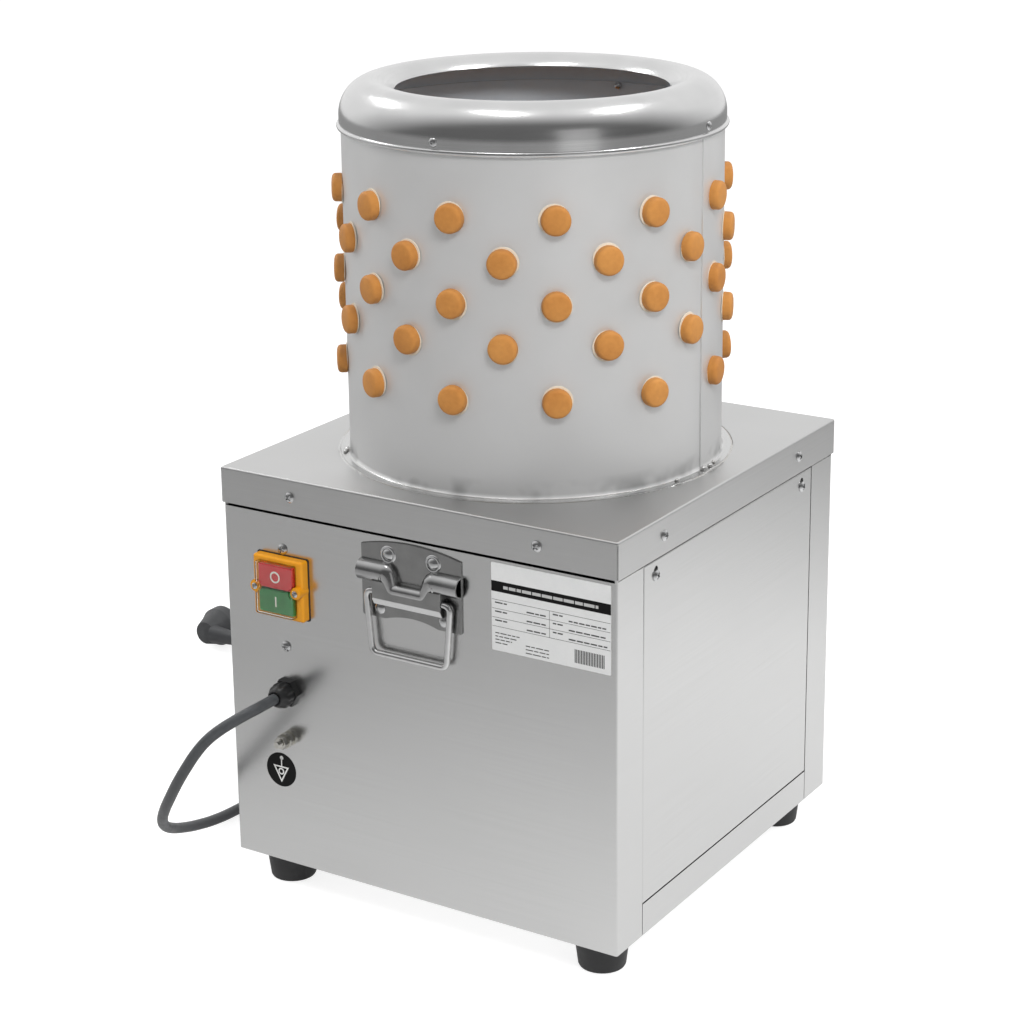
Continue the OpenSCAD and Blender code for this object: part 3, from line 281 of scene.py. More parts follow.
# %% Matt rolled drum sheet
# The same steel with a matt skin, rolled round, so that its grain runs round the drum. Darker faint blotches come
# from handling, the lower half has painted shade that darkens it towards the foot, and welding left patches of grey
# smoke above the foot.
drum_foot, smoke_top, shade_top = 360 * mm, 372 * mm, 540 * mm
drum_finish, tree, shader, place = new_finish("matt rolled stainless", Metallic=0.55, Roughness=0.45)
grain_place = add_node(tree, "ShaderNodeMapping", {"Scale": (1 / (60 * mm), 1 / (60 * mm), 1 / (0.8 * mm))},
                       {"Vector": place})
grain = add_node(tree, "ShaderNodeTexNoise", {"Scale": 1.0, "Detail": 2.0}, {"Vector": grain_place.outputs[0]})
blotch = add_node(tree, "ShaderNodeTexNoise", {"Scale": 1 / (70 * mm), "Detail": 3.0}, {"Vector": place})
tint = add_node(tree, "ShaderNodeMix", {mix_first: paint("#dadad9"), mix_second: paint("#e8e8e8")},
                {mix_share: blotch.outputs["Fac"]}, data_type="RGBA")
level = add_node(tree, "ShaderNodeSeparateXYZ", links={"Vector": place}).outputs["Z"]
# Painted shade: the tint darkens towards the drum's foot.
painted_low_shade = add_node(tree, "ShaderNodeMapRange", {"From Min": drum_foot, "From Max": shade_top,
                                                 "To Min": 0.25, "To Max": 0}, {"Value": level})
low_down = add_node(tree, "ShaderNodeMapRange", {"From Min": drum_foot, "From Max": smoke_top,
                                                 "To Min": 0.42, "To Max": 0}, {"Value": level})
smoke = add_node(tree, "ShaderNodeTexNoise", {"Scale": 1 / (30 * mm), "Detail": 2.0}, {"Vector": place})
patches = add_node(tree, "ShaderNodeMapRange", {"From Min": 0.5, "From Max": 0.64}, {"Value": smoke.outputs["Fac"]})
sooty = add_node(tree, "ShaderNodeMath", links={0: low_down.outputs["Result"], 1: patches.outputs["Result"]},
                 operation="MULTIPLY")
# The first mix paints shade on the drum's lower half; the second lays on the weld smoke.
for share, code in ((painted_low_shade.outputs["Result"], "#a6a6a6"), (sooty.outputs[0], "#5c5d5e")):
    tint = add_node(tree, "ShaderNodeMix", {mix_second: paint(code)},
                    {mix_share: share, mix_first: tint.outputs[mix_result]}, data_type="RGBA")
surfaced(tree, shader, tint.outputs[mix_result], blotch.outputs["Fac"], (0.4, 0.5), grain.outputs["Fac"], 0.2, 0.02)
print("finish:", drum_finish.name)

# %% Spun and buffed rim
# Turned on a lathe and buffed, so it is bright, with fine rings round its axis. A point's distance from the axis
# and its height give the rings.
spun_finish, tree, shader, place = new_finish("buffed spun stainless", Metallic=1.0, Roughness=0.16)
split = add_node(tree, "ShaderNodeSeparateXYZ", links={"Vector": place})
flat = add_node(tree, "ShaderNodeCombineXYZ", links={"X": split.outputs["X"], "Y": split.outputs["Y"]})
radius = add_node(tree, "ShaderNodeVectorMath", links={0: flat.outputs[0]}, operation="LENGTH")
ring = add_node(tree, "ShaderNodeCombineXYZ", links={"X": radius.outputs["Value"], "Y": split.outputs["Z"]})
rings = add_node(tree, "ShaderNodeTexNoise", {"Scale": 1 / (0.9 * mm), "Detail": 2.0}, {"Vector": ring.outputs[0]})
blotch = add_node(tree, "ShaderNodeTexNoise", {"Scale": 1 / (40 * mm), "Detail": 2.0}, {"Vector": place})
tint = add_node(tree, "ShaderNodeMix", {mix_first: paint("#cacaca"), mix_second: paint("#e0e0e0")},
                {mix_share: blotch.outputs["Fac"]}, data_type="RGBA")
surfaced(tree, shader, tint.outputs[mix_result], rings.outputs["Fac"], (0.19, 0.268), rings.outputs["Fac"],
         0.25, 0.015)
print("finish:", spun_finish.name)

# %% [markdown]
# ## Finishes of the other metals
# A weld froze in ripples and kept straw and brown heat tints. Pressed, plated, turned and cast metal differ in
# tint, gloss and the size of their grit, so one recipe with those values makes each of them.

# %% Weld bead
weld_finish, tree, shader, place = new_finish("silver weld bead", Metallic=1.0, Roughness=0.3)
heat = add_node(tree, "ShaderNodeTexNoise", {"Scale": 1 / (55 * mm), "Detail": 3.0}, {"Vector": place})
tints = add_node(tree, "ShaderNodeValToRGB", links={"Fac": heat.outputs["Fac"]})
for stop, (position, code) in zip(tints.color_ramp.elements, ((0.5, "#d0d0cf"), (0.8, "#b0a596"))):
    stop.position, stop.color = position, paint(code)
ripples = add_node(tree, "ShaderNodeTexNoise", {"Scale": 1 / (2.5 * mm), "Detail": 3.0}, {"Vector": place})
surfaced(tree, shader, tints.outputs["Color"], ripples.outputs["Fac"], (0.2, 0.42), ripples.outputs["Fac"], 0.5, 0.4)
print("finish:", weld_finish.name)

# %% Hardware metals
# Pressed steel is nickel plated and tumbled, and its hoods get a lighter tint of it, painted light, with a smoother
# gloss; wire is polished; fasteners are bright zinc; turned steel shows fine tool marks; cast iron is grey and
# pebbly; stud and nuts are plated brass; the capacitor sits in a drawn can.
def steel_finish(name, dark, light, low, high, grit):
    made, tree, shader, place = new_finish(name, Metallic=1.0, Roughness=(low + high) / 2)
    wear = add_node(tree, "ShaderNodeTexNoise", {"Scale": 1 / (grit * mm), "Detail": 4.0}, {"Vector": place})
    tint = add_node(tree, "ShaderNodeMix", {mix_first: paint(dark), mix_second: paint(light)},
                    {mix_share: wear.outputs["Fac"]}, data_type="RGBA")
    surfaced(tree, shader, tint.outputs[mix_result], wear.outputs["Fac"], (low, high), wear.outputs["Fac"], 0.3, 0.03)
    return made


pressed_finish = steel_finish("nickel plated pressed steel", "#828282", "#a2a2a1", 0.19, 0.268, 12)
# A lighter copy of the pressed steel for the hoods: painted light, with a smoother gloss.
hood_light_finish = steel_finish("pressed steel with painted hood light", "#a2a2a2", "#c0c0c0", 0.15, 0.26, 12)
wire_finish = steel_finish("polished stainless wire", "#c4c4c4", "#dedede", 0.14, 0.24, 6)
zinc_finish = steel_finish("bright zinc fastener", "#b9babb", "#dcdcdc", 0.18, 0.268, 3)
machined_finish = steel_finish("turned steel", "#a3a5a7", "#c6c7c8", 0.26, 0.4, 4)
cast_finish = steel_finish("cast iron housing", "#676a6c", "#85898b", 0.5, 0.65, 2.5)
brass_finish = steel_finish("plated brass", "#b2b0a9", "#d0cec8", 0.18, 0.268, 3)
can_finish = steel_finish("drawn aluminium can", "#b0b2b4", "#c9cbcd", 0.3, 0.42, 8)
print("metal finishes:", [pressed_finish.name, zinc_finish.name, machined_finish.name, cast_finish.name])

# %% [markdown]
# ## Rubber, plastic, paint and print
# Natural rubber fingers are honey orange and dull, with a dusty bloom in clouds a few millimetres across. ABS,
# nylon and phenolic are moulded: a fine spark texture of about a millimetre and a satin gloss. Ink and film are
# nearly flat. One recipe mixes a fine speck with a wide cloud, and each material gives its own sizes.

# %% Soft and moulded finishes
def soft_finish(name, dark, light, low, high, grain_mm, depth_mm, **values):
    made, tree, shader, place = new_finish(name, Roughness=(low + high) / 2, **values)
    speck = add_node(tree, "ShaderNodeTexNoise", {"Scale": 1 / (grain_mm * mm), "Detail": 4.0}, {"Vector": place})
    cloud = add_node(tree, "ShaderNodeTexNoise", {"Scale": 1 / (grain_mm * 9 * mm), "Detail": 2.0}, {"Vector": place})
    tone = add_node(tree, "ShaderNodeMix", {"Factor": 0.6}, {"A": speck.outputs["Fac"], "B": cloud.outputs["Fac"]})
    tint = add_node(tree, "ShaderNodeMix", {mix_first: paint(dark), mix_second: paint(light)},
                    {mix_share: tone.outputs[0]}, data_type="RGBA")
    surfaced(tree, shader, tint.outputs[mix_result], speck.outputs["Fac"], (low, high), speck.outputs["Fac"],
             0.5, depth_mm)
    return made


finger_finish = soft_finish("moulded natural rubber", "#a25f1c", "#dfa056", 0.5, 0.68, 3.6, 0.08)
flash_finish = soft_finish("pale rubber flash", "#d6cab6", "#ece4d4", 0.6, 0.75, 1.6, 0.05)
foot_finish = soft_finish("moulded black rubber", "#222223", "#363637", 0.5, 0.65, 1.0, 0.08)
nylon_finish = soft_finish("black nylon", "#101011", "#202021", 0.28, 0.4, 0.9, 0.03)
bezel_finish = soft_finish("yellow ABS", "#e0920c", "#efa41e", 0.3, 0.4, 0.8, 0.02)
red_finish = soft_finish("red ABS", "#c4101d", "#d21a28", 0.28, 0.36, 0.8, 0.015)
green_finish = soft_finish("green ABS", "#0a7433", "#12813c", 0.28, 0.36, 0.8, 0.015)
phenolic_finish = soft_finish("black phenolic", "#171718", "#272728", 0.35, 0.5, 1.0, 0.03)
motor_finish = soft_finish("grey motor enamel", "#3b4043", "#4e5356", 0.35, 0.5, 1.6, 0.08)
lead_finish = soft_finish("inner PVC leads", "#272829", "#3a3b3d", 0.4, 0.5, 1.0, 0.02)
plug_finish = soft_finish("moulded PVC plug", "#38393b", "#4b4c4e", 0.42, 0.56, 1.2, 0.06)
film_finish = soft_finish("matt label film", "#dcdddd", "#eeeeed", 0.38, 0.5, 1.5, 0.01)
ink_finish = soft_finish("black printing ink", "#0a0a0a", "#151515", 0.4, 0.5, 1.5, 0.005, Specular_IOR_Level=0.15)
faint_ink_finish = soft_finish("thin grey printing ink", "#383838", "#585858", 0.4, 0.5, 1.5, 0.005)
band_word_finish = soft_finish("reversed out print", "#b4b4b3", "#cacac9", 0.4, 0.5, 1.5, 0.005)
white_finish = soft_finish("white printing ink", "#e6e6e4", "#f4f4f2", 0.4, 0.5, 1.5, 0.005)
# Its blue-grey tint is painted: it cancels the orange light that the fingers bounce onto the inside.
inside_finish = soft_finish("dulled steel inside the drum", "#bfc6cd", "#cfd6dc", 0.55, 0.7, 3, 0.02)
clear_finish = soft_finish("clear silicone rubber", "#f6f5ee", "#fdfdfa", 0.05, 0.12, 2.0, 0.005, IOR=1.33,
                           Transmission_Weight=1.0)
print("rubber and plastic finishes:", [finger_finish.name, bezel_finish.name, clear_finish.name])

# %% [markdown]
# ## Pieces whose CAD shape is already right
# Flat panels, the hopper and all of the drive keep their solids. They only need a finish.

# %% Finish the kept solids
slot_finish = {
    "stainless sheet": sheet_finish, "polished stainless": spun_finish, "weld bead": weld_finish,
    "pressed steel": pressed_finish, "fastener steel": zinc_finish, "finger rubber": finger_finish,
    "machined steel": machined_finish, "cast housing": cast_finish, "motor paint": motor_finish,
    "black rubber": foot_finish, "capacitor case": can_finish, "switch plastic": phenolic_finish,
    "yellow plastic": bezel_finish, "clear boot": clear_finish, "red plastic": red_finish,
    "green plastic": green_finish, "black plastic": nylon_finish, "plated brass": brass_finish,
    "printed film": film_finish, "lead sheath": lead_finish,
}
for entry in frame["record"]["subparts"]:
    solid = frame["nodes"][entry["node"]]
    solid.data.materials.clear()
    solid.data.materials.append(slot_finish[entry["material_slot"]])
frame["nodes"]["drum"].data.materials[0] = drum_finish
frame["nodes"]["mains_plug"].data.materials[0] = plug_finish

# %% [markdown]
# ## Workshop helpers
# Every piece is shaped in edit mode from a primitive. An operator acts on all that is selected, so the first
# helpers clear the selection, take hold of pieces, pick parts of a mesh by a test and saw one shape out of
# another. The next one settles a finished piece: it puts its place into its mesh, shades it and says which body
# carries it and which solids it stands for. Other helpers come where they are first needed.

# %% Pick and saw
def begin():
    bpy.ops.object.select_all(action="DESELECT")


def hold(*pieces):
    begin()
    for piece in pieces:
        piece.select_set(True)
    bpy.context.view_layer.objects.active = pieces[0]


def pick(piece, kind, test):
    bpy.ops.mesh.select_mode(type={"edges": "EDGE", "faces": "FACE"}[kind])
    bpy.ops.mesh.select_all(action="DESELECT")
    shape = bmesh.from_edit_mesh(piece.data)
    for part in getattr(shape, kind):
        part.select_set(test(part))
    shape.select_flush_mode()
    bmesh.update_edit_mesh(piece.data)


def apply_all(piece):
    hold(piece)
    for modifier in list(piece.modifiers):
        bpy.ops.object.modifier_apply(modifier=modifier.name)
    bpy.ops.object.transform_apply(location=True, rotation=True, scale=True)


def cut(piece, tool):
    saw = piece.modifiers.new("saw", "BOOLEAN")
    saw.operation, saw.object, saw.solver = "DIFFERENCE", tool, "EXACT"
    apply_all(piece)
    bpy.data.objects.remove(tool)


print("helpers:", [helper.__name__ for helper in (begin, hold, pick, apply_all, cut)])

# %% Settle a finished piece
def settled(piece, finish, body, nodes, slot, angle=32):
    apply_all(piece)
    bpy.ops.object.shade_smooth_by_angle(angle=math.radians(angle))
    even = piece.modifiers.new("even_light", "WEIGHTED_NORMAL")
    even.keep_sharp = True
    bpy.ops.object.modifier_apply(modifier=even.name)
    if finish is not None:
        piece.data.materials.clear()
        piece.data.materials.append(finish)
    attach(piece, body)
    if nodes:
        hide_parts(*nodes)
    print("made", piece.name, len(piece.data.polygons), "faces")


print("helper:", settled.__name__)

# %% [markdown]
# ## The folded casing
# Lid and panels are sheet bent on a press brake, so every fold has a small radius that catches a line of light.
# A cube is bevelled along its folds and a slightly smaller cube is sawn out of it, which leaves the sheet. The
# left panel, the rails and the base tray are flat sheet, and their solids only need the finish.

# %% Blocks and bores
y_axis, z_axis = 1, 2
along_x, along_y = (0, math.pi / 2, 0), (math.pi / 2, 0, 0)


def block(name, low, high, bevel=0.0, steps=3, test=None):
    begin()
    low, high = Vector(low) * mm, Vector(high) * mm
    bpy.ops.mesh.primitive_cube_add(size=1, location=(low + high) / 2)
    piece = bpy.context.object
    piece.name = name
    piece.scale = high - low
    bpy.ops.object.transform_apply(location=True, rotation=True, scale=True)
    if bevel:
        bpy.ops.object.mode_set(mode="EDIT")
        pick(piece, "edges", test or (lambda edge: True))
        bpy.ops.mesh.bevel(offset=bevel * mm, segments=steps, affect="EDGES")
        bpy.ops.object.mode_set(mode="OBJECT")
    return piece


def touching(axis, level):
    side = math.copysign(1, level)
    return lambda edge: max(side * corner.co[axis] for corner in edge.verts) > side * level * mm


def running(axis, least):
    return lambda edge: abs(edge.verts[0].co[axis] - edge.verts[1].co[axis]) > least * mm


def drilled(piece, radius, depth, place, turn=(0, 0, 0), sides=32):
    begin()
    bpy.ops.mesh.primitive_cylinder_add(vertices=sides, radius=radius * mm, depth=depth * mm,
                                        location=Vector(place) * mm, rotation=turn)
    cut(piece, bpy.context.object)


print("helpers:", [helper.__name__ for helper in (block, touching, running, drilled)])

# %% Lid
# Half widths of casing and lid, the heights of the lid's top and of its skirt's lower edge, the sheet's thickness,
# the radius of its folds and the drum's inside radius, all in mm.
case_half, lid_half = 178.5, 180
lid_top, skirt_foot = 356, 327
sheet, fold, drum_inside = 1.5, 1.8, 147.5
lid = block("folded_lid", (-lid_half, -lid_half, skirt_foot), (lid_half, lid_half, lid_top), fold, 4,
            touching(z_axis, lid_top - 0.1))
cut(lid, block("lid_inside", (-case_half, -case_half, 320), (case_half, case_half, lid_top - sheet)))
drilled(lid, drum_inside, 60, (0, 0, lid_top), sides=160)
for turn in range(4):
    seam = block("corner_seam", (178.9, -181, 326), (179.8, -178.9, 353.5))
    seam.rotation_euler.z = turn * math.pi / 2
    cut(lid, seam)
settled(lid, lid_finish, "casing", ["lid"], "stainless sheet")

# %% Front and rear panel
case_foot, return_end, inner_half = 28, 140.5, case_half - sheet
switch_x, switch_z = -122, 267
window_left, window_right, window_low, window_high = -138.9, -105.1, 246.7, 287.3


def folded_panel(name):
    upright = running(z_axis, 100)

    def on_fold(edge):
        return upright(edge) and max(corner.co.y for corner in edge.verts) < (0.1 - case_half) * mm

    panel = block(name, (-case_half, -case_half, case_foot), (case_half, -return_end, lid_top - sheet),
                  fold, 4, on_fold)
    cut(panel, block("panel_inside", (-inner_half, -inner_half, 20), (inner_half, -130, 360)))
    cut(panel, block("shadow_gap", (-176.5, -190, 324.3), (176.5, -170, 326.8)))
    cut(panel, block("side_gap", (-190, -inner_half, 325), (190, -141, 326.8)))
    return panel


front_panel = folded_panel("front_sheet")
cut(front_panel, block("switch_window", (window_left, -190, window_low), (window_right, -170, window_high)))
settled(front_panel, sheet_finish, "casing", ["front_panel"], "stainless sheet")
rear_panel = folded_panel("rear_sheet")
rear_panel.rotation_euler.z = math.pi
settled(rear_panel, sheet_finish, "casing", ["rear_panel"], "stainless sheet")

# %% Access panel on the right
# Each of its two screws sits at the lower end of a short slot.
panel_screw_y, panel_screw_z, slot_length = 121.7, 313, 4.5
access = block("access_sheet", (inner_half, -139.7, 54.8), (case_half, 139.7, 325), 0.9, 3,
               lambda edge: min(corner.co.x for corner in edge.verts) > (case_half - 0.1) * mm)
for y in (-panel_screw_y, panel_screw_y):
    for height in (panel_screw_z, panel_screw_z + slot_length):
        drilled(access, 3, 20, (178, y, height), along_x)
settled(access, sheet_finish, "casing", ["right_panel"], "stainless sheet")

# %% [markdown]
# ## Drum, rim and weld
# The drum is a rolled sheet with a lap seam on the right and a flange turned out at its foot. The rim was spun
# on a lathe: a bead, a short skirt, a wide outer roll and a lower one that ends in a crisp lip at the mouth. All
# of them are round, so an outline is spun. The seam is then a small radial step in the drum's wall, and the weld
# round the flange is pushed about by a fixed noise, with lumps where the seam was tacked.

# %% Lathe
def arc(centre, radius, start, end, steps):
    angles = [math.radians(start + (end - start) * step / steps) for step in range(steps + 1)]
    return [(centre[0] + radius * math.cos(angle), centre[1] + radius * math.sin(angle)) for angle in angles]


def turned(name, outline, steps):
    begin()
    bpy.ops.mesh.primitive_plane_add(size=mm)
    piece = bpy.context.object
    piece.name = name
    bpy.ops.object.mode_set(mode="EDIT")
    bpy.ops.mesh.select_mode(type="VERT")
    bpy.ops.mesh.select_all(action="SELECT")
    bpy.ops.mesh.merge(type="CENTER")
    here = Vector((0, 0, 0))
    for step, (radius, height) in enumerate(outline):
        goal = Vector((radius, 0, height)) * mm
        if step == 0:
            bpy.ops.transform.translate(value=goal)
        else:
            bpy.ops.mesh.extrude_region_move(TRANSFORM_OT_translate={"value": goal - here})
        here = goal
    bpy.ops.mesh.select_all(action="SELECT")
    bpy.ops.mesh.spin(steps=steps, angle=2 * math.pi, center=(0, 0, 0), axis=(0, 0, 1))
    bpy.ops.mesh.select_all(action="SELECT")
    bpy.ops.mesh.remove_doubles(threshold=0.002 * mm)
    bpy.ops.mesh.normals_make_consistent(inside=False)
    bpy.ops.object.mode_set(mode="OBJECT")
    return piece


print("helpers:", arc.__name__, "and", turned.__name__)

# %% Drum with its seam
drum_outside, drum_top = 149, 626
drum = turned("rolled_drum", [(drum_inside, lid_top), (drum_inside, drum_top), (drum_outside, drum_top),
                              (drum_outside, 612), (drum_outside, 590), (drum_outside, 400)]
              + arc((152.5, 359.9), 3.5, 180, 270, 8) + [(157, 356.3), (157.2, lid_top), (drum_inside, lid_top)], 192)
# At the lap the wall steps out by a sheet, and it eases back over the next degrees.
step_out, lap_top, lap_turn, lap_edge = 1.1 * mm, 612.5 * mm, 24, math.radians(0.12)
for corner in drum.data.vertices:
    radius = math.hypot(corner.co.x, corner.co.y)
    angle = math.degrees(math.atan2(corner.co.y, corner.co.x))
    if -2.5 < angle < -1:
        corner.co.x, corner.co.y = radius * math.cos(lap_edge), -radius * math.sin(lap_edge)
    if radius > 148.6 * mm and corner.co.z < lap_top and -0.05 < angle < lap_turn:
        grown = 1 + step_out * (1 - max(angle, 0) / lap_turn) / radius
        corner.co.x *= grown
        corner.co.y *= grown
settled(drum, drum_finish, "casing", ["drum"], "stainless sheet", 12)
# Inside, the wall is dull and tinted blue-grey, a painted tint that cancels the orange light the fingers
# bounce onto it, and the flange at the foot is as bright as the casing.
for finish in (inside_finish, sheet_finish):
    drum.data.materials.append(finish)
for face in drum.data.polygons:
    if math.hypot(face.center.x, face.center.y) < 148 * mm:
        face.material_index = 1
    elif face.center.z < 357 * mm:
        face.material_index = 2

# %% Spun rim
# Each roll is a quarter of an oval about the crest: its middle's height, its reach across and its rise.
crest, wall, bead_z = 126, 1.2, 617
outer_roll = (625, 24.4, 27.12)
inner_roll = (636.12, 22, 16)


def rolled(shape, inset, start, end, steps):
    level, across, tall = shape
    return [(crest + (across - inset) * x, level + (tall - inset) * y) for x, y in arc((0, 0), 1, start, end, steps)]


rim_outline = [(149.2, bead_z)] + rolled(outer_roll, wall, 0, 90, 20) + rolled(inner_roll, wall, 94, 152, 12)
rim_outline += rolled(inner_roll, 0, 152, 94, 14) + rolled(outer_roll, 0, 90, 0, 30)
rim_outline += [(150.4, bead_z + 2)] + arc((150.4, bead_z), 1.9, 80, -90, 10)
rim_outline += [(149.2, bead_z - 1.6), (149.2, bead_z)]
rim = turned("spun_rim", rim_outline, 192)
settled(rim, spun_finish, "casing", ["drum_rim"], "polished stainless", 40)
# The rim's inside gets the same blue-grey tint, painted against the orange light bounced from the fingers.
rim.data.materials.append(inside_finish)
half_wall = wall / 2
for face in rim.data.polygons:
    out, up = math.hypot(face.center.x, face.center.y) / mm, face.center.z / mm
    level, across, tall = outer_roll if out > crest else inner_roll
    if math.hypot((out - crest) / (across - half_wall), max(up - level, 0) / (tall - half_wall)) < 1:
        face.material_index = 1
print("rim faces of the dull inside:", sum(face.material_index for face in rim.data.polygons))

# %% Places and copies
def spot(x, y, z):
    return Matrix.Translation(Vector((x, y, z)) * mm)


def about(axis, degrees):
    return Matrix.Rotation(math.radians(degrees), 4, axis)


def joined(name, pieces):
    hold(*pieces)
    bpy.ops.object.join()
    whole = bpy.context.object
    whole.name = name
    bpy.ops.object.transform_apply(location=True, rotation=True, scale=True)
    return whole


def repeated(name, piece, places):
    copies = []
    for place in places:
        copy = piece.copy()
        copy.data = piece.data.copy()
        scene.collection.objects.link(copy)
        copy.matrix_world = place @ piece.matrix_world
        copies.append(copy)
    bpy.data.objects.remove(piece)
    bpy.context.view_layer.update()
    return joined(name, copies)


print("helpers:", [helper.__name__ for helper in (spot, about, joined, repeated)])

# %% Rim rivets
rivet = turned("rim_rivet", [(0, 0.7), (0.9, 0.7), (1.1, 1.5), (2, 1.35), (2.9, 0.9), (3.5, 0.3), (3.6, 0), (2, 0),
                             (2, -3.1), (3, -3.2), (2.9, -5.6), (1.6, -6.2), (0, -6.2)], 24)
rivets = repeated("rim_rivet_set", rivet, [about("Z", -87 + 90 * turn) @ spot(150.4, 0, 623.5) @ about("Y", 90)
                                           for turn in range(4)])
settled(rivets, zinc_finish, "casing", ["rim_rivets"], "fastener steel")

# %% Weld round the flange
# Lumps on the bead, each with its angle, its width in degrees and its height. Away from the tacks the bead was
# ground nearly flush.
lumps = ((-141, 2, 1.3), (-15, 1.6, 0.9), (-11, 1, 0.6), (2, 3, 1.6), (8, 2, 1), (75, 3, 1), (150, 3, 1))
tack_angles, tack_width = (-141, 4, 75, 150), 16
weld = turned("flange_weld", [(156.2, lid_top), (158.4, lid_top), (158.1, 356.3), (157.4, 356.6), (156.6, 356.6),
                              (156.2, lid_top)], 300)
for corner in weld.data.vertices:
    angle = math.degrees(math.atan2(corner.co.y, corner.co.x))
    lump = sum(tall * math.exp(-((angle - middle) / width) ** 2) for middle, width, tall in lumps)
    left_on = max(math.exp(-((angle - tack) / tack_width) ** 2) for tack in tack_angles)
    wave = noise.noise(corner.co / (4 * mm)) * 0.25 + noise.noise(corner.co / (15 * mm)) * 0.2
    swell = (lump + wave * left_on) * mm
    away = Vector((corner.co.x, corner.co.y, 0)).normalized()
    if corner.co.z > 356.1 * mm:
        corner.co += away * swell * 0.5 + Vector((0, 0, max(swell, -0.4 * mm) - 0.35 * mm * (1 - left_on)))

# %% Weld tacks
# Beads of filler at the drum's foot, each with its angle, its distance from the axis and its radius.
tacks = [weld]
for angle, out, size in ((-141, 151.6, 3.2), (-139, 153.6, 2), (-13, 152, 1.8), (1, 151.6, 3.2), (4.5, 152.6, 2.4),
                         (8, 151.8, 2)):
    begin()
    bpy.ops.mesh.primitive_ico_sphere_add(subdivisions=3, radius=size * mm)
    bead = bpy.context.object
    bead.matrix_world = about("Z", angle) @ spot(out, 0, 357.2) @ Matrix.Diagonal((0.8, 1.3, 0.7, 1))
    tacks.append(bead)
settled(joined("flange_weld", tacks), weld_finish, "casing", ["drum_weld"], "weld bead", 60)

# %% [markdown]
# ## Rubber fingers
# A plucking finger is moulded rubber: a flat head outside the sheet, a neck in the hole and a ribbed, tapering
# body that reaches into the drum. One finger is turned and copied round each row. Pushed in by hand, they all
# sit a little differently, so each copy is tipped by a seeded degree or so. A thin pale flash of rubber peeps
# out from under the heads, a little off centre.

# %% One finger
def finger(name, wall, reach):
    shoulder = wall + 0.7
    ribs = [(10.05 - 3.75 * step / 16 - 0.7 * (step % 2), shoulder + 3 + step / 16 * (reach - shoulder - 7))
            for step in range(17)]
    head = [(0, -8.5), (4, -8.45), (7, -8.2)] + arc((8.05, -4.8), 3.1, -78, 0, 6)
    neck = [(11.25, -1.2), (10.9, -0.3), (9.75, -0.1), (9.75, shoulder), (10.75, shoulder), (10.75, shoulder + 2.6)]
    tip = [(5.8, reach - 2.2), (4.4, reach - 0.7), (2.5, reach), (0, reach)]
    return turned(name, head + neck + ribs + tip, 28)


print("helper:", finger.__name__)

# %% Finger rows
hands = random.Random(7)
row_heights = [431.5, 473, 505, 537, 569]
per_row, first_angle, tilt, slip = 12, -112, 1.6, 1.1
flash_places = []
for row, height in enumerate(row_heights):
    places = []
    for count in range(per_row):
        angle = first_angle + 360 / per_row * (count - (row % 2) / 2)
        seat = about("Z", angle) @ spot(drum_outside, 0, height) @ about("Y", -90)
        lean = about("X", hands.uniform(-tilt, tilt)) @ about("Y", hands.uniform(-tilt, tilt))
        places.append(seat @ lean @ about("Z", hands.uniform(0, 360)))
        drift = hands.uniform(0, 2 * math.pi)
        flash_places.append(seat @ spot(slip * math.cos(drift), slip * math.sin(drift), 0.1) @ lean)
    fingers = repeated(f"finger_row_{row + 1}_rubber", finger("finger", sheet, 58), places)
    settled(fingers, finger_finish, "casing", [f"finger_row_{row + 1}"], "finger rubber")

# %% Flash and plate fingers
flash_ring = turned("flash", [(9.9, -0.1), (9.9, -0.9), (11.7, -0.8), (11.9, -0.3), (9.9, -0.1)], 28)
settled(repeated("finger_flash", flash_ring, flash_places), flash_finish, "casing", [], "finger rubber")
plate_z, outer_ring, inner_ring = 349, 112, 66
plate_places = [about("Z", 45 * turn) @ spot(outer_ring, 0, plate_z) @ about("X", hands.uniform(-1, 1))
                for turn in range(8)]
plate_places += [about("Z", 90 * turn + 45) @ spot(inner_ring, 0, plate_z) @ about("X", hands.uniform(-1, 1))
                 for turn in range(4)]
plate_fingers = repeated("plate_finger_rubber", finger("finger", 3, 57), plate_places)
settled(plate_fingers, finger_finish, "rotor", ["plate_fingers"], "finger rubber")

# %% [markdown]
# ## Screws
# The lid, the side panels and the switch plate are held by the same pan head screw, so one screw is turned and
# copied to fourteen places. Its cross recess is sawn out of the head, and each copy is turned by a seeded angle.

# %% Pan head screws
def on_front(x, z, out=0.0):
    return spot(x, -case_half - out, z) @ about("X", 90)


def pan_screw(name, radius, height, shank, depth, cross):
    outline = [(0, height)] + arc((0, height - radius * 1.6), radius * 1.6, 88, 62, 4)
    outline += [(radius, height * 0.35), (radius, 0), (shank, 0), (shank, -depth), (0, -depth - shank)]
    screw = turned(name, outline, 32)
    for turn in (0, 90):
        slot = block("slot", (-cross, -cross * 0.22, height * 0.35), (cross, cross * 0.22, height + 2))
        slot.matrix_world = about("Z", turn) @ slot.matrix_world
        apply_all(slot)
        cut(screw, slot)
    return screw


twist = random.Random(11)
screw_places = [about("Z", side) @ spot(x, -lid_half, 341.5) @ about("X", 90)
                for side in (0, 90, 180, 270) for x in (-112, 112)]
screw_places += [about("Z", side) @ on_front(x, panel_screw_z)
                 for side in (90, 270) for x in (-panel_screw_y, panel_screw_y)]
screw_places += [on_front(switch_x, height) for height in (216, 297)]
screws = repeated("sheet_screw_set", pan_screw("sheet_screw", 4.3, 2.6, 2, 6, 2.6),
                  [place @ about("Z", twist.uniform(0, 90)) for place in screw_places])
settled(screws, zinc_finish, "casing", ["sheet_screws"], "fastener steel")

# %% [markdown]
# ## Drop handles
# Each handle is one pressing with a wire bail. Its back plate is a flat blank with an arched top. The raised
# face is a second blank, sawn through for the wire. The hoods at both sides roll into a scoop in the middle:
# that is one tube along a curve, halved at the plate and given the sheet's thickness, so its ends stay open.

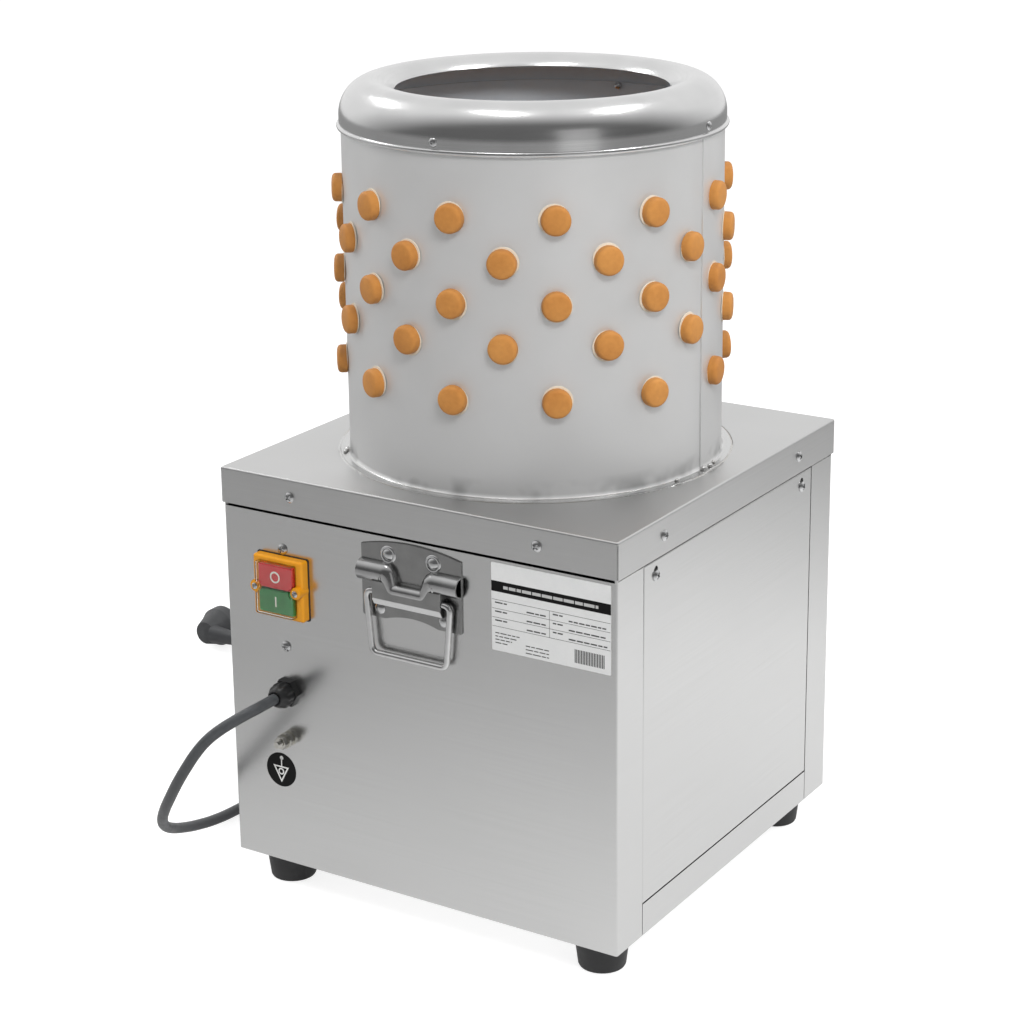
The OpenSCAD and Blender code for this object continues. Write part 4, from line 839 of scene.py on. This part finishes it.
# %% Flat blanks
def blank(name, outline, thickness, bevel=0.0):
    begin()
    bpy.ops.mesh.primitive_circle_add(vertices=len(outline), radius=mm, fill_type="NGON")
    piece = bpy.context.object
    piece.name = name
    for corner, (across, along) in zip(piece.data.vertices, outline):
        corner.co = Vector((across, along, 0)) * mm
    bpy.ops.object.mode_set(mode="EDIT")
    bpy.ops.mesh.select_all(action="SELECT")
    bpy.ops.mesh.extrude_region_move(TRANSFORM_OT_translate={"value": (0, 0, thickness * mm)})
    bpy.ops.mesh.select_all(action="SELECT")
    bpy.ops.mesh.normals_make_consistent(inside=False)
    if bevel:
        top = thickness * mm - 1e-7
        pick(piece, "edges", lambda edge: all(corner.co.z > top for corner in edge.verts))
        bpy.ops.mesh.bevel(offset=bevel * mm, segments=2, affect="EDGES")
    bpy.ops.object.mode_set(mode="OBJECT")
    return piece


def bowed(start, end, level, rise, steps):
    half = abs(end - start) / 2
    across = [start + (end - start) * step / steps for step in range(steps + 1)]
    return [(x, level + rise * (1 - (x / half) ** 2)) for x in across]


print("helpers:", blank.__name__, "and", bowed.__name__)

# %% Back plate and raised face
plate_half, plate_sheet, handle_z = 45.5, 1.5, 282
plate_outline = [(-44.3, -23)] + bowed(-24, 24, -23, 4, 12) + [(44.3, -23), (plate_half, -21.8)]
plate_outline += bowed(plate_half, -plate_half, 34.5, 6, 24) + [(-plate_half, -21.8)]
back_plate = blank("handle_back", plate_outline, plate_sheet, 0.4)
face = blank("handle_face", [(-31.5, -6), (31.5, -6), (31.5, 10), (20, 10), (14.5, 3), (-14.5, 3), (-20, 10),
                             (-31.5, 10)], 9.4, 1.4)
bpy.ops.object.mode_set(mode="EDIT")
pick(face, "faces", lambda part: part.normal.y < -0.9)
bpy.ops.mesh.extrude_region_move(TRANSFORM_OT_translate={"value": (0, -4.6 * mm, -2.4 * mm)})
bpy.ops.object.mode_set(mode="OBJECT")
for side in (-1, 1):
    drilled(face, 3, 24, (side * 30, 0, 6), along_x, 24)
print("handle face has", len(face.data.vertices), "corners")

# %% Wire along a route
def wire(name, route, radius, sides=6):
    line = bpy.data.curves.new(name, "CURVE")
    line.dimensions = "3D"
    line.bevel_depth = radius * mm
    line.bevel_resolution = sides
    line.use_fill_caps = True
    path = line.splines.new("POLY")
    path.points.add(len(route) - 1)
    for knot, (x, y, z, swell) in zip(path.points, route):
        knot.co = (x * mm, y * mm, z * mm, 1)
        knot.radius = swell
    piece = bpy.data.objects.new(name, line)
    scene.collection.objects.link(piece)
    hold(piece)
    bpy.ops.object.convert(target="MESH")
    return piece


print("helper:", wire.__name__)

# %% Rolled hoods and scoop
# Towards the middle of the plate the tube dips, comes forward and gets thinner.
roll_route = []
for step in range(92):
    across = step - plate_half
    dip = min(max((22 - abs(across)) / 9, 0), 1)
    dip = dip * dip * (3 - 2 * dip)
    roll_route.append((across, 14.5 - 11.5 * dip, 1.5 + 3.4 * dip, 1 - 0.42 * dip))
hood = wire("handle_hood", roll_route, 8.5, 10)
bpy.ops.object.mode_set(mode="EDIT")
bpy.ops.mesh.select_all(action="SELECT")
bpy.ops.mesh.remove_doubles(threshold=0.002 * mm)
bpy.ops.mesh.normals_make_consistent(inside=False)
bpy.ops.mesh.select_all(action="SELECT")
bpy.ops.mesh.bisect(plane_co=(0, 0, 1.4 * mm), plane_no=(0, 0, -1), clear_outer=True)
pick(hood, "faces", lambda part: abs(part.normal.x) > 0.95 and abs(part.calc_center_median().x) > 45.3 * mm)
bpy.ops.mesh.delete(type="FACE")
bpy.ops.object.mode_set(mode="OBJECT")
shell = hood.modifiers.new("sheet", "SOLIDIFY")
shell.thickness, shell.offset = 1.3 * mm, -1
apply_all(hood)
print("hood has", len(hood.data.polygons), "faces")

# %% Join the pressings
# The hoods take the lighter tint of the pressed steel, painted light.
for part, finish in ((back_plate, pressed_finish), (face, pressed_finish), (hood, hood_light_finish)):
    part.data.materials.append(finish)
handle_plate = joined("handle_pressing", [back_plate, face, hood])
handle_plate.matrix_world = on_front(0, handle_z)
rear_pressing = repeated("rear_pressing", handle_plate, [Matrix.Identity(4), about("Z", 180)])
hold(rear_pressing)
bpy.ops.object.mode_set(mode="EDIT")
pick(rear_pressing, "faces", lambda part: part.calc_center_median().y < 0)
bpy.ops.mesh.separate(type="SELECTED")
bpy.ops.object.mode_set(mode="OBJECT")
front_pressing = next(thing for thing in bpy.context.selected_objects if thing is not rear_pressing)
front_pressing.name = "front_pressing"
settled(front_pressing, None, "casing", ["front_handle_plate"], "pressed steel", 30)
settled(rear_pressing, None, "casing", ["rear_handle_plate"], "pressed steel", 30)


def rubbed(part):
    low_side = part.normal.z < -0.3 and abs(part.normal.y) > 0.3
    return low_side and 269 < part.center.z / mm < 277 and abs(part.center.x) < 31 * mm


# The bail has rubbed the lower edge of each raised face bright.
for pressing in (front_pressing, rear_pressing):
    pressing.data.materials.append(wire_finish)
    for part in filter(rubbed, pressing.data.polygons):
        part.material_index = 2
    print(pressing.name, "has", [finish.name for finish in pressing.data.materials])

# %% Handle rivets
rivet_outline = [(0, 2.1)] + arc((0, -4.7), 6.8, 84, 47, 6)
rivet_outline += [(4.6, 0), (2.4, 0), (2.4, -3.2), (3.6, -3.3), (3.2, -4.6), (0, -5)]
rivet = turned("handle_rivet", rivet_outline, 28)
collar = turned("rivet_collar", [(4.9, 0), (5.2, 0.7), (6.1, 0.8), (6.9, 0.4), (7.2, 0), (4.9, 0)], 36)
knocked = [on_front(x, handle_z + height, plate_sheet)
           for x, height in ((-20.5, 29), (20.5, 29), (-29, -15.5), (29, -15.5))]
both_sides = [about("Z", turn) @ place for turn in (0, 180) for place in knocked]
rivet_set = repeated("handle_rivet_set", rivet, both_sides)
collar_set = repeated("rivet_collar_set", collar, [both_sides[index] for index in (0, 1, 4, 5)])
settled(joined("handle_rivets_and_collars", [rivet_set, collar_set]), zinc_finish, "casing", ["handle_rivets"],
        "fastener steel")

# %% Wire bails
def rounded(corners, radius, steps=8):
    route = [corners[0]]
    for before, corner, after in zip(corners, corners[1:], corners[2:]):
        into, out = (Vector(corner) - Vector(before)).normalized(), (Vector(after) - Vector(corner)).normalized()
        reach = radius * math.tan(into.angle(out) / 2)
        start, end = Vector(corner) - into * reach, Vector(corner) + out * reach
        for step in range(steps + 1):
            share = step / steps
            route.append(tuple(start * (1 - share) ** 2 + Vector(corner) * 2 * share * (1 - share) + end * share ** 2))
    return route + [corners[-1]]


bail_corners = [(-19, 0), (-38.5, 0), (-34, -50.5), (34, -50.5), (38.5, 0), (19, 0)]
bail_route = [(x, z, 6, 1) for x, z in rounded(bail_corners, 6)]
for side, turn in (("front", 0), ("rear", 180)):
    bail = wire(side + "_bail_wire", bail_route, 2.5)
    bail.matrix_world = about("Z", turn) @ on_front(0, handle_z)
    settled(bail, wire_finish, side + "_bail", [side + "_handle_bail"], "polished stainless", 50)

# %% [markdown]
# ## Switch
# A yellow ABS bezel holds two push buttons, red to stop and green to start, under a clear splash boot. The bezel
# is a bevelled block with its window sawn out and a screw lobe at each side. The boot is a thin shell.

# %% Bezel and gasket
lobe_places = [(x, -190, switch_z) for x in (-141.5, -102.5)]
lobe_height = 12
bezel = block("bezel_frame", (-146, -186.5, 242), (-98, -case_half, 292), 2.2, 4, touching(y_axis, -186.3))
cut(bezel, block("window", (window_left, -200, window_low), (window_right, -170, window_high)))
lobe = turned("lobe", [(0, 0), (5, 0), (5, 11), (4.7, 11.7), (4, lobe_height), (1.3, lobe_height), (1.3, 4),
                       (0, 4)], 32)
lobes = repeated("lobes", lobe, [on_front(x, z) for x, y, z in lobe_places])
settled(joined("switch_bezel_frame", [bezel, lobes]), bezel_finish, "casing", ["switch_bezel"], "yellow plastic")
gasket = block("bezel_gasket", (-146.7, -179.2, 241.3), (-97.3, -case_half, 292.7), 1.5, 3, running(y_axis, 0.5))
cut(gasket, block("window", (-139, -200, 246), (-105, -170, 288)))
settled(gasket, foot_finish, "casing", [], "black rubber")

# %% Clear boot and bezel screws
boot = block("boot_shell", (-140.1, -192.3, 245.5), (-103.9, -186.5, 288.5), 1.6, 4, touching(y_axis, -192.2))
cut(boot, block("boot_inside", (-139.3, -191.5, 246.3), (-104.7, -180, 287.7), 1.0, 3, touching(y_axis, -191.4)))
for place in lobe_places:
    drilled(boot, 5.3, 60, place, along_y)
settled(boot, clear_finish, "casing", ["switch_cover"], "clear boot")
bezel_screws = repeated("bezel_screw_set", pan_screw("bezel_screw", 2.6, 1.6, 1.2, 7, 1.7),
                        [on_front(x, z, lobe_height) @ about("Z", twist.uniform(0, 90)) for x, y, z in lobe_places])
settled(bezel_screws, zinc_finish, "casing", ["bezel_screws"], "fastener steel")

# %% Push buttons with their marks
stop_z, start_z, cap_half = 277.15, 256.85, 9.75
for name, height, finish, slot in (("stop", stop_z, red_finish, "red plastic"),
                                   ("start", start_z, green_finish, "green plastic")):
    cap = block(name + "_cap", (-138.5, -189.5, height - cap_half), (-105.5, -182.5, height + cap_half), 1.3, 4,
                touching(y_axis, -189.4))
    for place in lobe_places:
        drilled(cap, 5.4, 60, place, along_y)
    stem = turned("stem", [(0, -14), (3, -14), (3, 4.2), (0, 4.2)], 24)
    stem.matrix_world = on_front(switch_x, height)
    settled(joined(name + "_push", [cap, stem]), finish, name + "_button", [name + "_button"], slot)
ring = turned("stop_ring", [(3.4, 0), (3.4, 0.2), (4.8, 0.2), (4.8, 0), (3.4, 0)], 40)
ring.matrix_world = on_front(switch_x, stop_z, 10.9)
settled(ring, white_finish, "stop_button", [], "printed film")
stroke = block("start_stroke", (-122.7, -189.6, 252.6), (-121.3, -189.4, 261.1), 0.05, 1)
settled(stroke, white_finish, "start_button", [], "printed film")

# %% [markdown]
# ## Fittings under the switch
# The lead enters through a nylon gland: a hexagon against the panel and a ribbed dome nut. Below it the earth
# stud carries its nuts and washers, above a round mark. The label is a film printed with a band, rules and bars.

# %% Cable gland
def hexagon(name, flats, thickness, bevel):
    return blank(name, arc((0, 0), flats / math.sqrt(3), 0, 300, 5), thickness, bevel)


flange = hexagon("gland_flange", 21, 5, 0.9)
lock_nut = hexagon("gland_lock_nut", 22, 6, 0.6)
lock_nut.location.z = -7.5 * mm
dome_outline = [(0, -1.5), (9.8, -1.5), (9.8, 4.8), (9.9, 4.8), (10.1, 5.5), (10.1, 10.6), (9.7, 12.2), (9.0, 13.8)]
dome_outline += [(8.1, 15.6), (7.2, 17), (6.3, 17.9), (5.4, 18), (4.6, 17.4), (4.55, 10), (0, 10)]
dome = turned("gland_dome", dome_outline, 96)
# Twelve shallow ribs round the nut, for the hand.
ribs, rib_height = 12, 0.4 * mm
for corner in dome.data.vertices:
    radius, angle = math.hypot(corner.co.x, corner.co.y), math.atan2(corner.co.y, corner.co.x)
    if radius > 9.5 * mm and 5 * mm < corner.co.z < 14 * mm:
        grown = 1 + rib_height * math.cos(ribs * angle) / radius
        corner.co.x, corner.co.y = corner.co.x * grown, corner.co.y * grown
gland = joined("cable_gland_nylon", [flange, lock_nut, dome])
gland.matrix_world = on_front(switch_x, 177.5)
settled(gland, nylon_finish, "casing", ["cable_gland"], "black plastic", 38)

# %% Earth stud
thread = [(0, -8.5), (2.4, -8.5)]
for step in range(26):
    thread += [(2.5, -8 + step), (3, -7.55 + step), (3, -7.4 + step)]
rod = turned("stud_rod", thread + [(2.4, 18), (0, 18)], 28)
parts = [rod]
for height, is_nut in ((0, False), (1.2, True), (6.2, False), (7.4, False), (8.6, True), (-6.5, True)):
    if is_nut:
        part = hexagon("stud_nut", 10, 5, 0.7)
        part.rotation_euler.z = twist.uniform(0, 1)
    else:
        part = turned("stud_washer", [(2.9, 0), (6.3, 0), (6.5, 0.2), (6.5, 1), (6.3, 1.2), (2.9, 1.2), (2.9, 0)], 36)
    part.location.z = height * mm
    parts.append(part)
stud = joined("earth_stud_set", parts)
stud.matrix_world = on_front(switch_x, 138)
settled(stud, brass_finish, "casing", ["earth_stud"], "plated brass", 30)

# %% Label film and mark disc
ink = 0.06
mark_x, mark_z, disc_height = -132, 108, 0.3
label_left, label_right, label_low, label_high = 71.5, 173.5, 253, 322
film = block("label_film", (label_left, -178.8, label_low), (label_right, -case_half, label_high), 0.8, 3,
             running(y_axis, 0.1))
disc = turned("earth_disc", [(0, 0), (14.5, 0), (14.5, 0.25), (14.3, disc_height), (0, disc_height)], 64)
disc.matrix_world = on_front(mark_x, mark_z)
settled(film, film_finish, "casing", [], "printed film")
settled(disc, ink_finish, "casing", ["panel_marks"], "printed film")

# %% Print on the label
# Thin rules make a table, and rows of small bars of seeded lengths fill it.
lengths = random.Random(23)


def printed(name, bars, finish, lift=0.34):
    near = -case_half - lift
    strips = [block("strip", (low_x, near, low_z), (high_x, near + ink, high_z))
              for low_x, low_z, high_x, high_z in bars]
    settled(joined(name, strips), finish, "casing", [], "printed film")


def greeked(start, end, level, height, longest):
    bars, x = [], start
    while x < end - 1:
        width = min(lengths.uniform(0.4, 1) * longest, end - x)
        bars.append((x, level - height / 2, x + width, level + height / 2))
        x += width + 0.9
    return bars


table_top, row_pitch = 293, 7
rules = [(71.9, table_top - row_pitch * line, 173.1, table_top + 0.32 - row_pitch * line) for line in range(4)]
rules += [(121.5, 272, 121.8, table_top)]
columns = ((74.5, 85, 2), (102, 118.5, 4.8), (124.5, 133, 2), (138, 170.5, 4.8))
small = [bar for row in range(3) for start, end, drop in columns
         for bar in greeked(start, end, table_top - row_pitch * row - drop, 1.1, 7)]
small += [bar for row in range(4) for bar in greeked(74.5, 97 - 4 * row, 267 - 2.6 * row, 0.8, 6)]
small += [bar for row in range(3) for bar in greeked(101, 121, 261.5 - 2.8 * row, 0.8, 7)]
stripes = [(143 + 1.35 * bar, 257, 143.75 + 1.35 * bar, 267.5) for bar in range(19)]
printed("label_band", [(label_left, 299.6, label_right, 307.9)] + stripes, ink_finish)
printed("label_small_print", rules + small, faint_ink_finish)
printed("label_band_words", greeked(82, 163, 303.7, 2.4, 9), band_word_finish, 0.4)

# %% Earth mark
triangle = blank("earth_triangle", [(-7.8, 3.2), (0, -11), (7.8, 3.2)], ink)
cut(triangle, blank("earth_triangle_inside", [(-5.6, 2.0), (0, -8.4), (5.6, 2.0)], 1))
ring = turned("earth_ring", [(1.7, 0), (1.7, ink), (2.9, ink), (2.9, 0), (1.7, 0)], 32)
ring.location = Vector((0, -1.4, 0)) * mm
dot = turned("earth_dot", [(0, 0), (1.7, 0), (1.7, ink), (0, ink)], 24)
dot.location = Vector((0.8, 10.4, 0)) * mm
stem = block("earth_stem", (0.1, 3, 0), (1.1, 10, ink))
earth_mark = joined("earth_mark", [triangle, ring, dot, stem])
earth_mark.matrix_world = on_front(mark_x, mark_z, disc_height)
settled(earth_mark, white_finish, "casing", [], "printed film")

# %% Feet
foot_x = 147.5
foot_outline = [(3.2, 14), (9, 14), (9, 0.7), (9.6, 0), (16.6, 0), (17.9, 0.5), (18.6, 1.8), (21.7, 26.4)]
foot_outline += [(21.6, 27.4), (20.8, 28), (3.2, 28), (3.2, 14)]
feet = repeated("rubber_feet", turned("foot", foot_outline, 48),
                [spot(x, y, 0) for x in (-foot_x, foot_x) for y in (-foot_x, foot_x)])
settled(feet, foot_finish, "casing", ["feet"], "black rubber", 35)
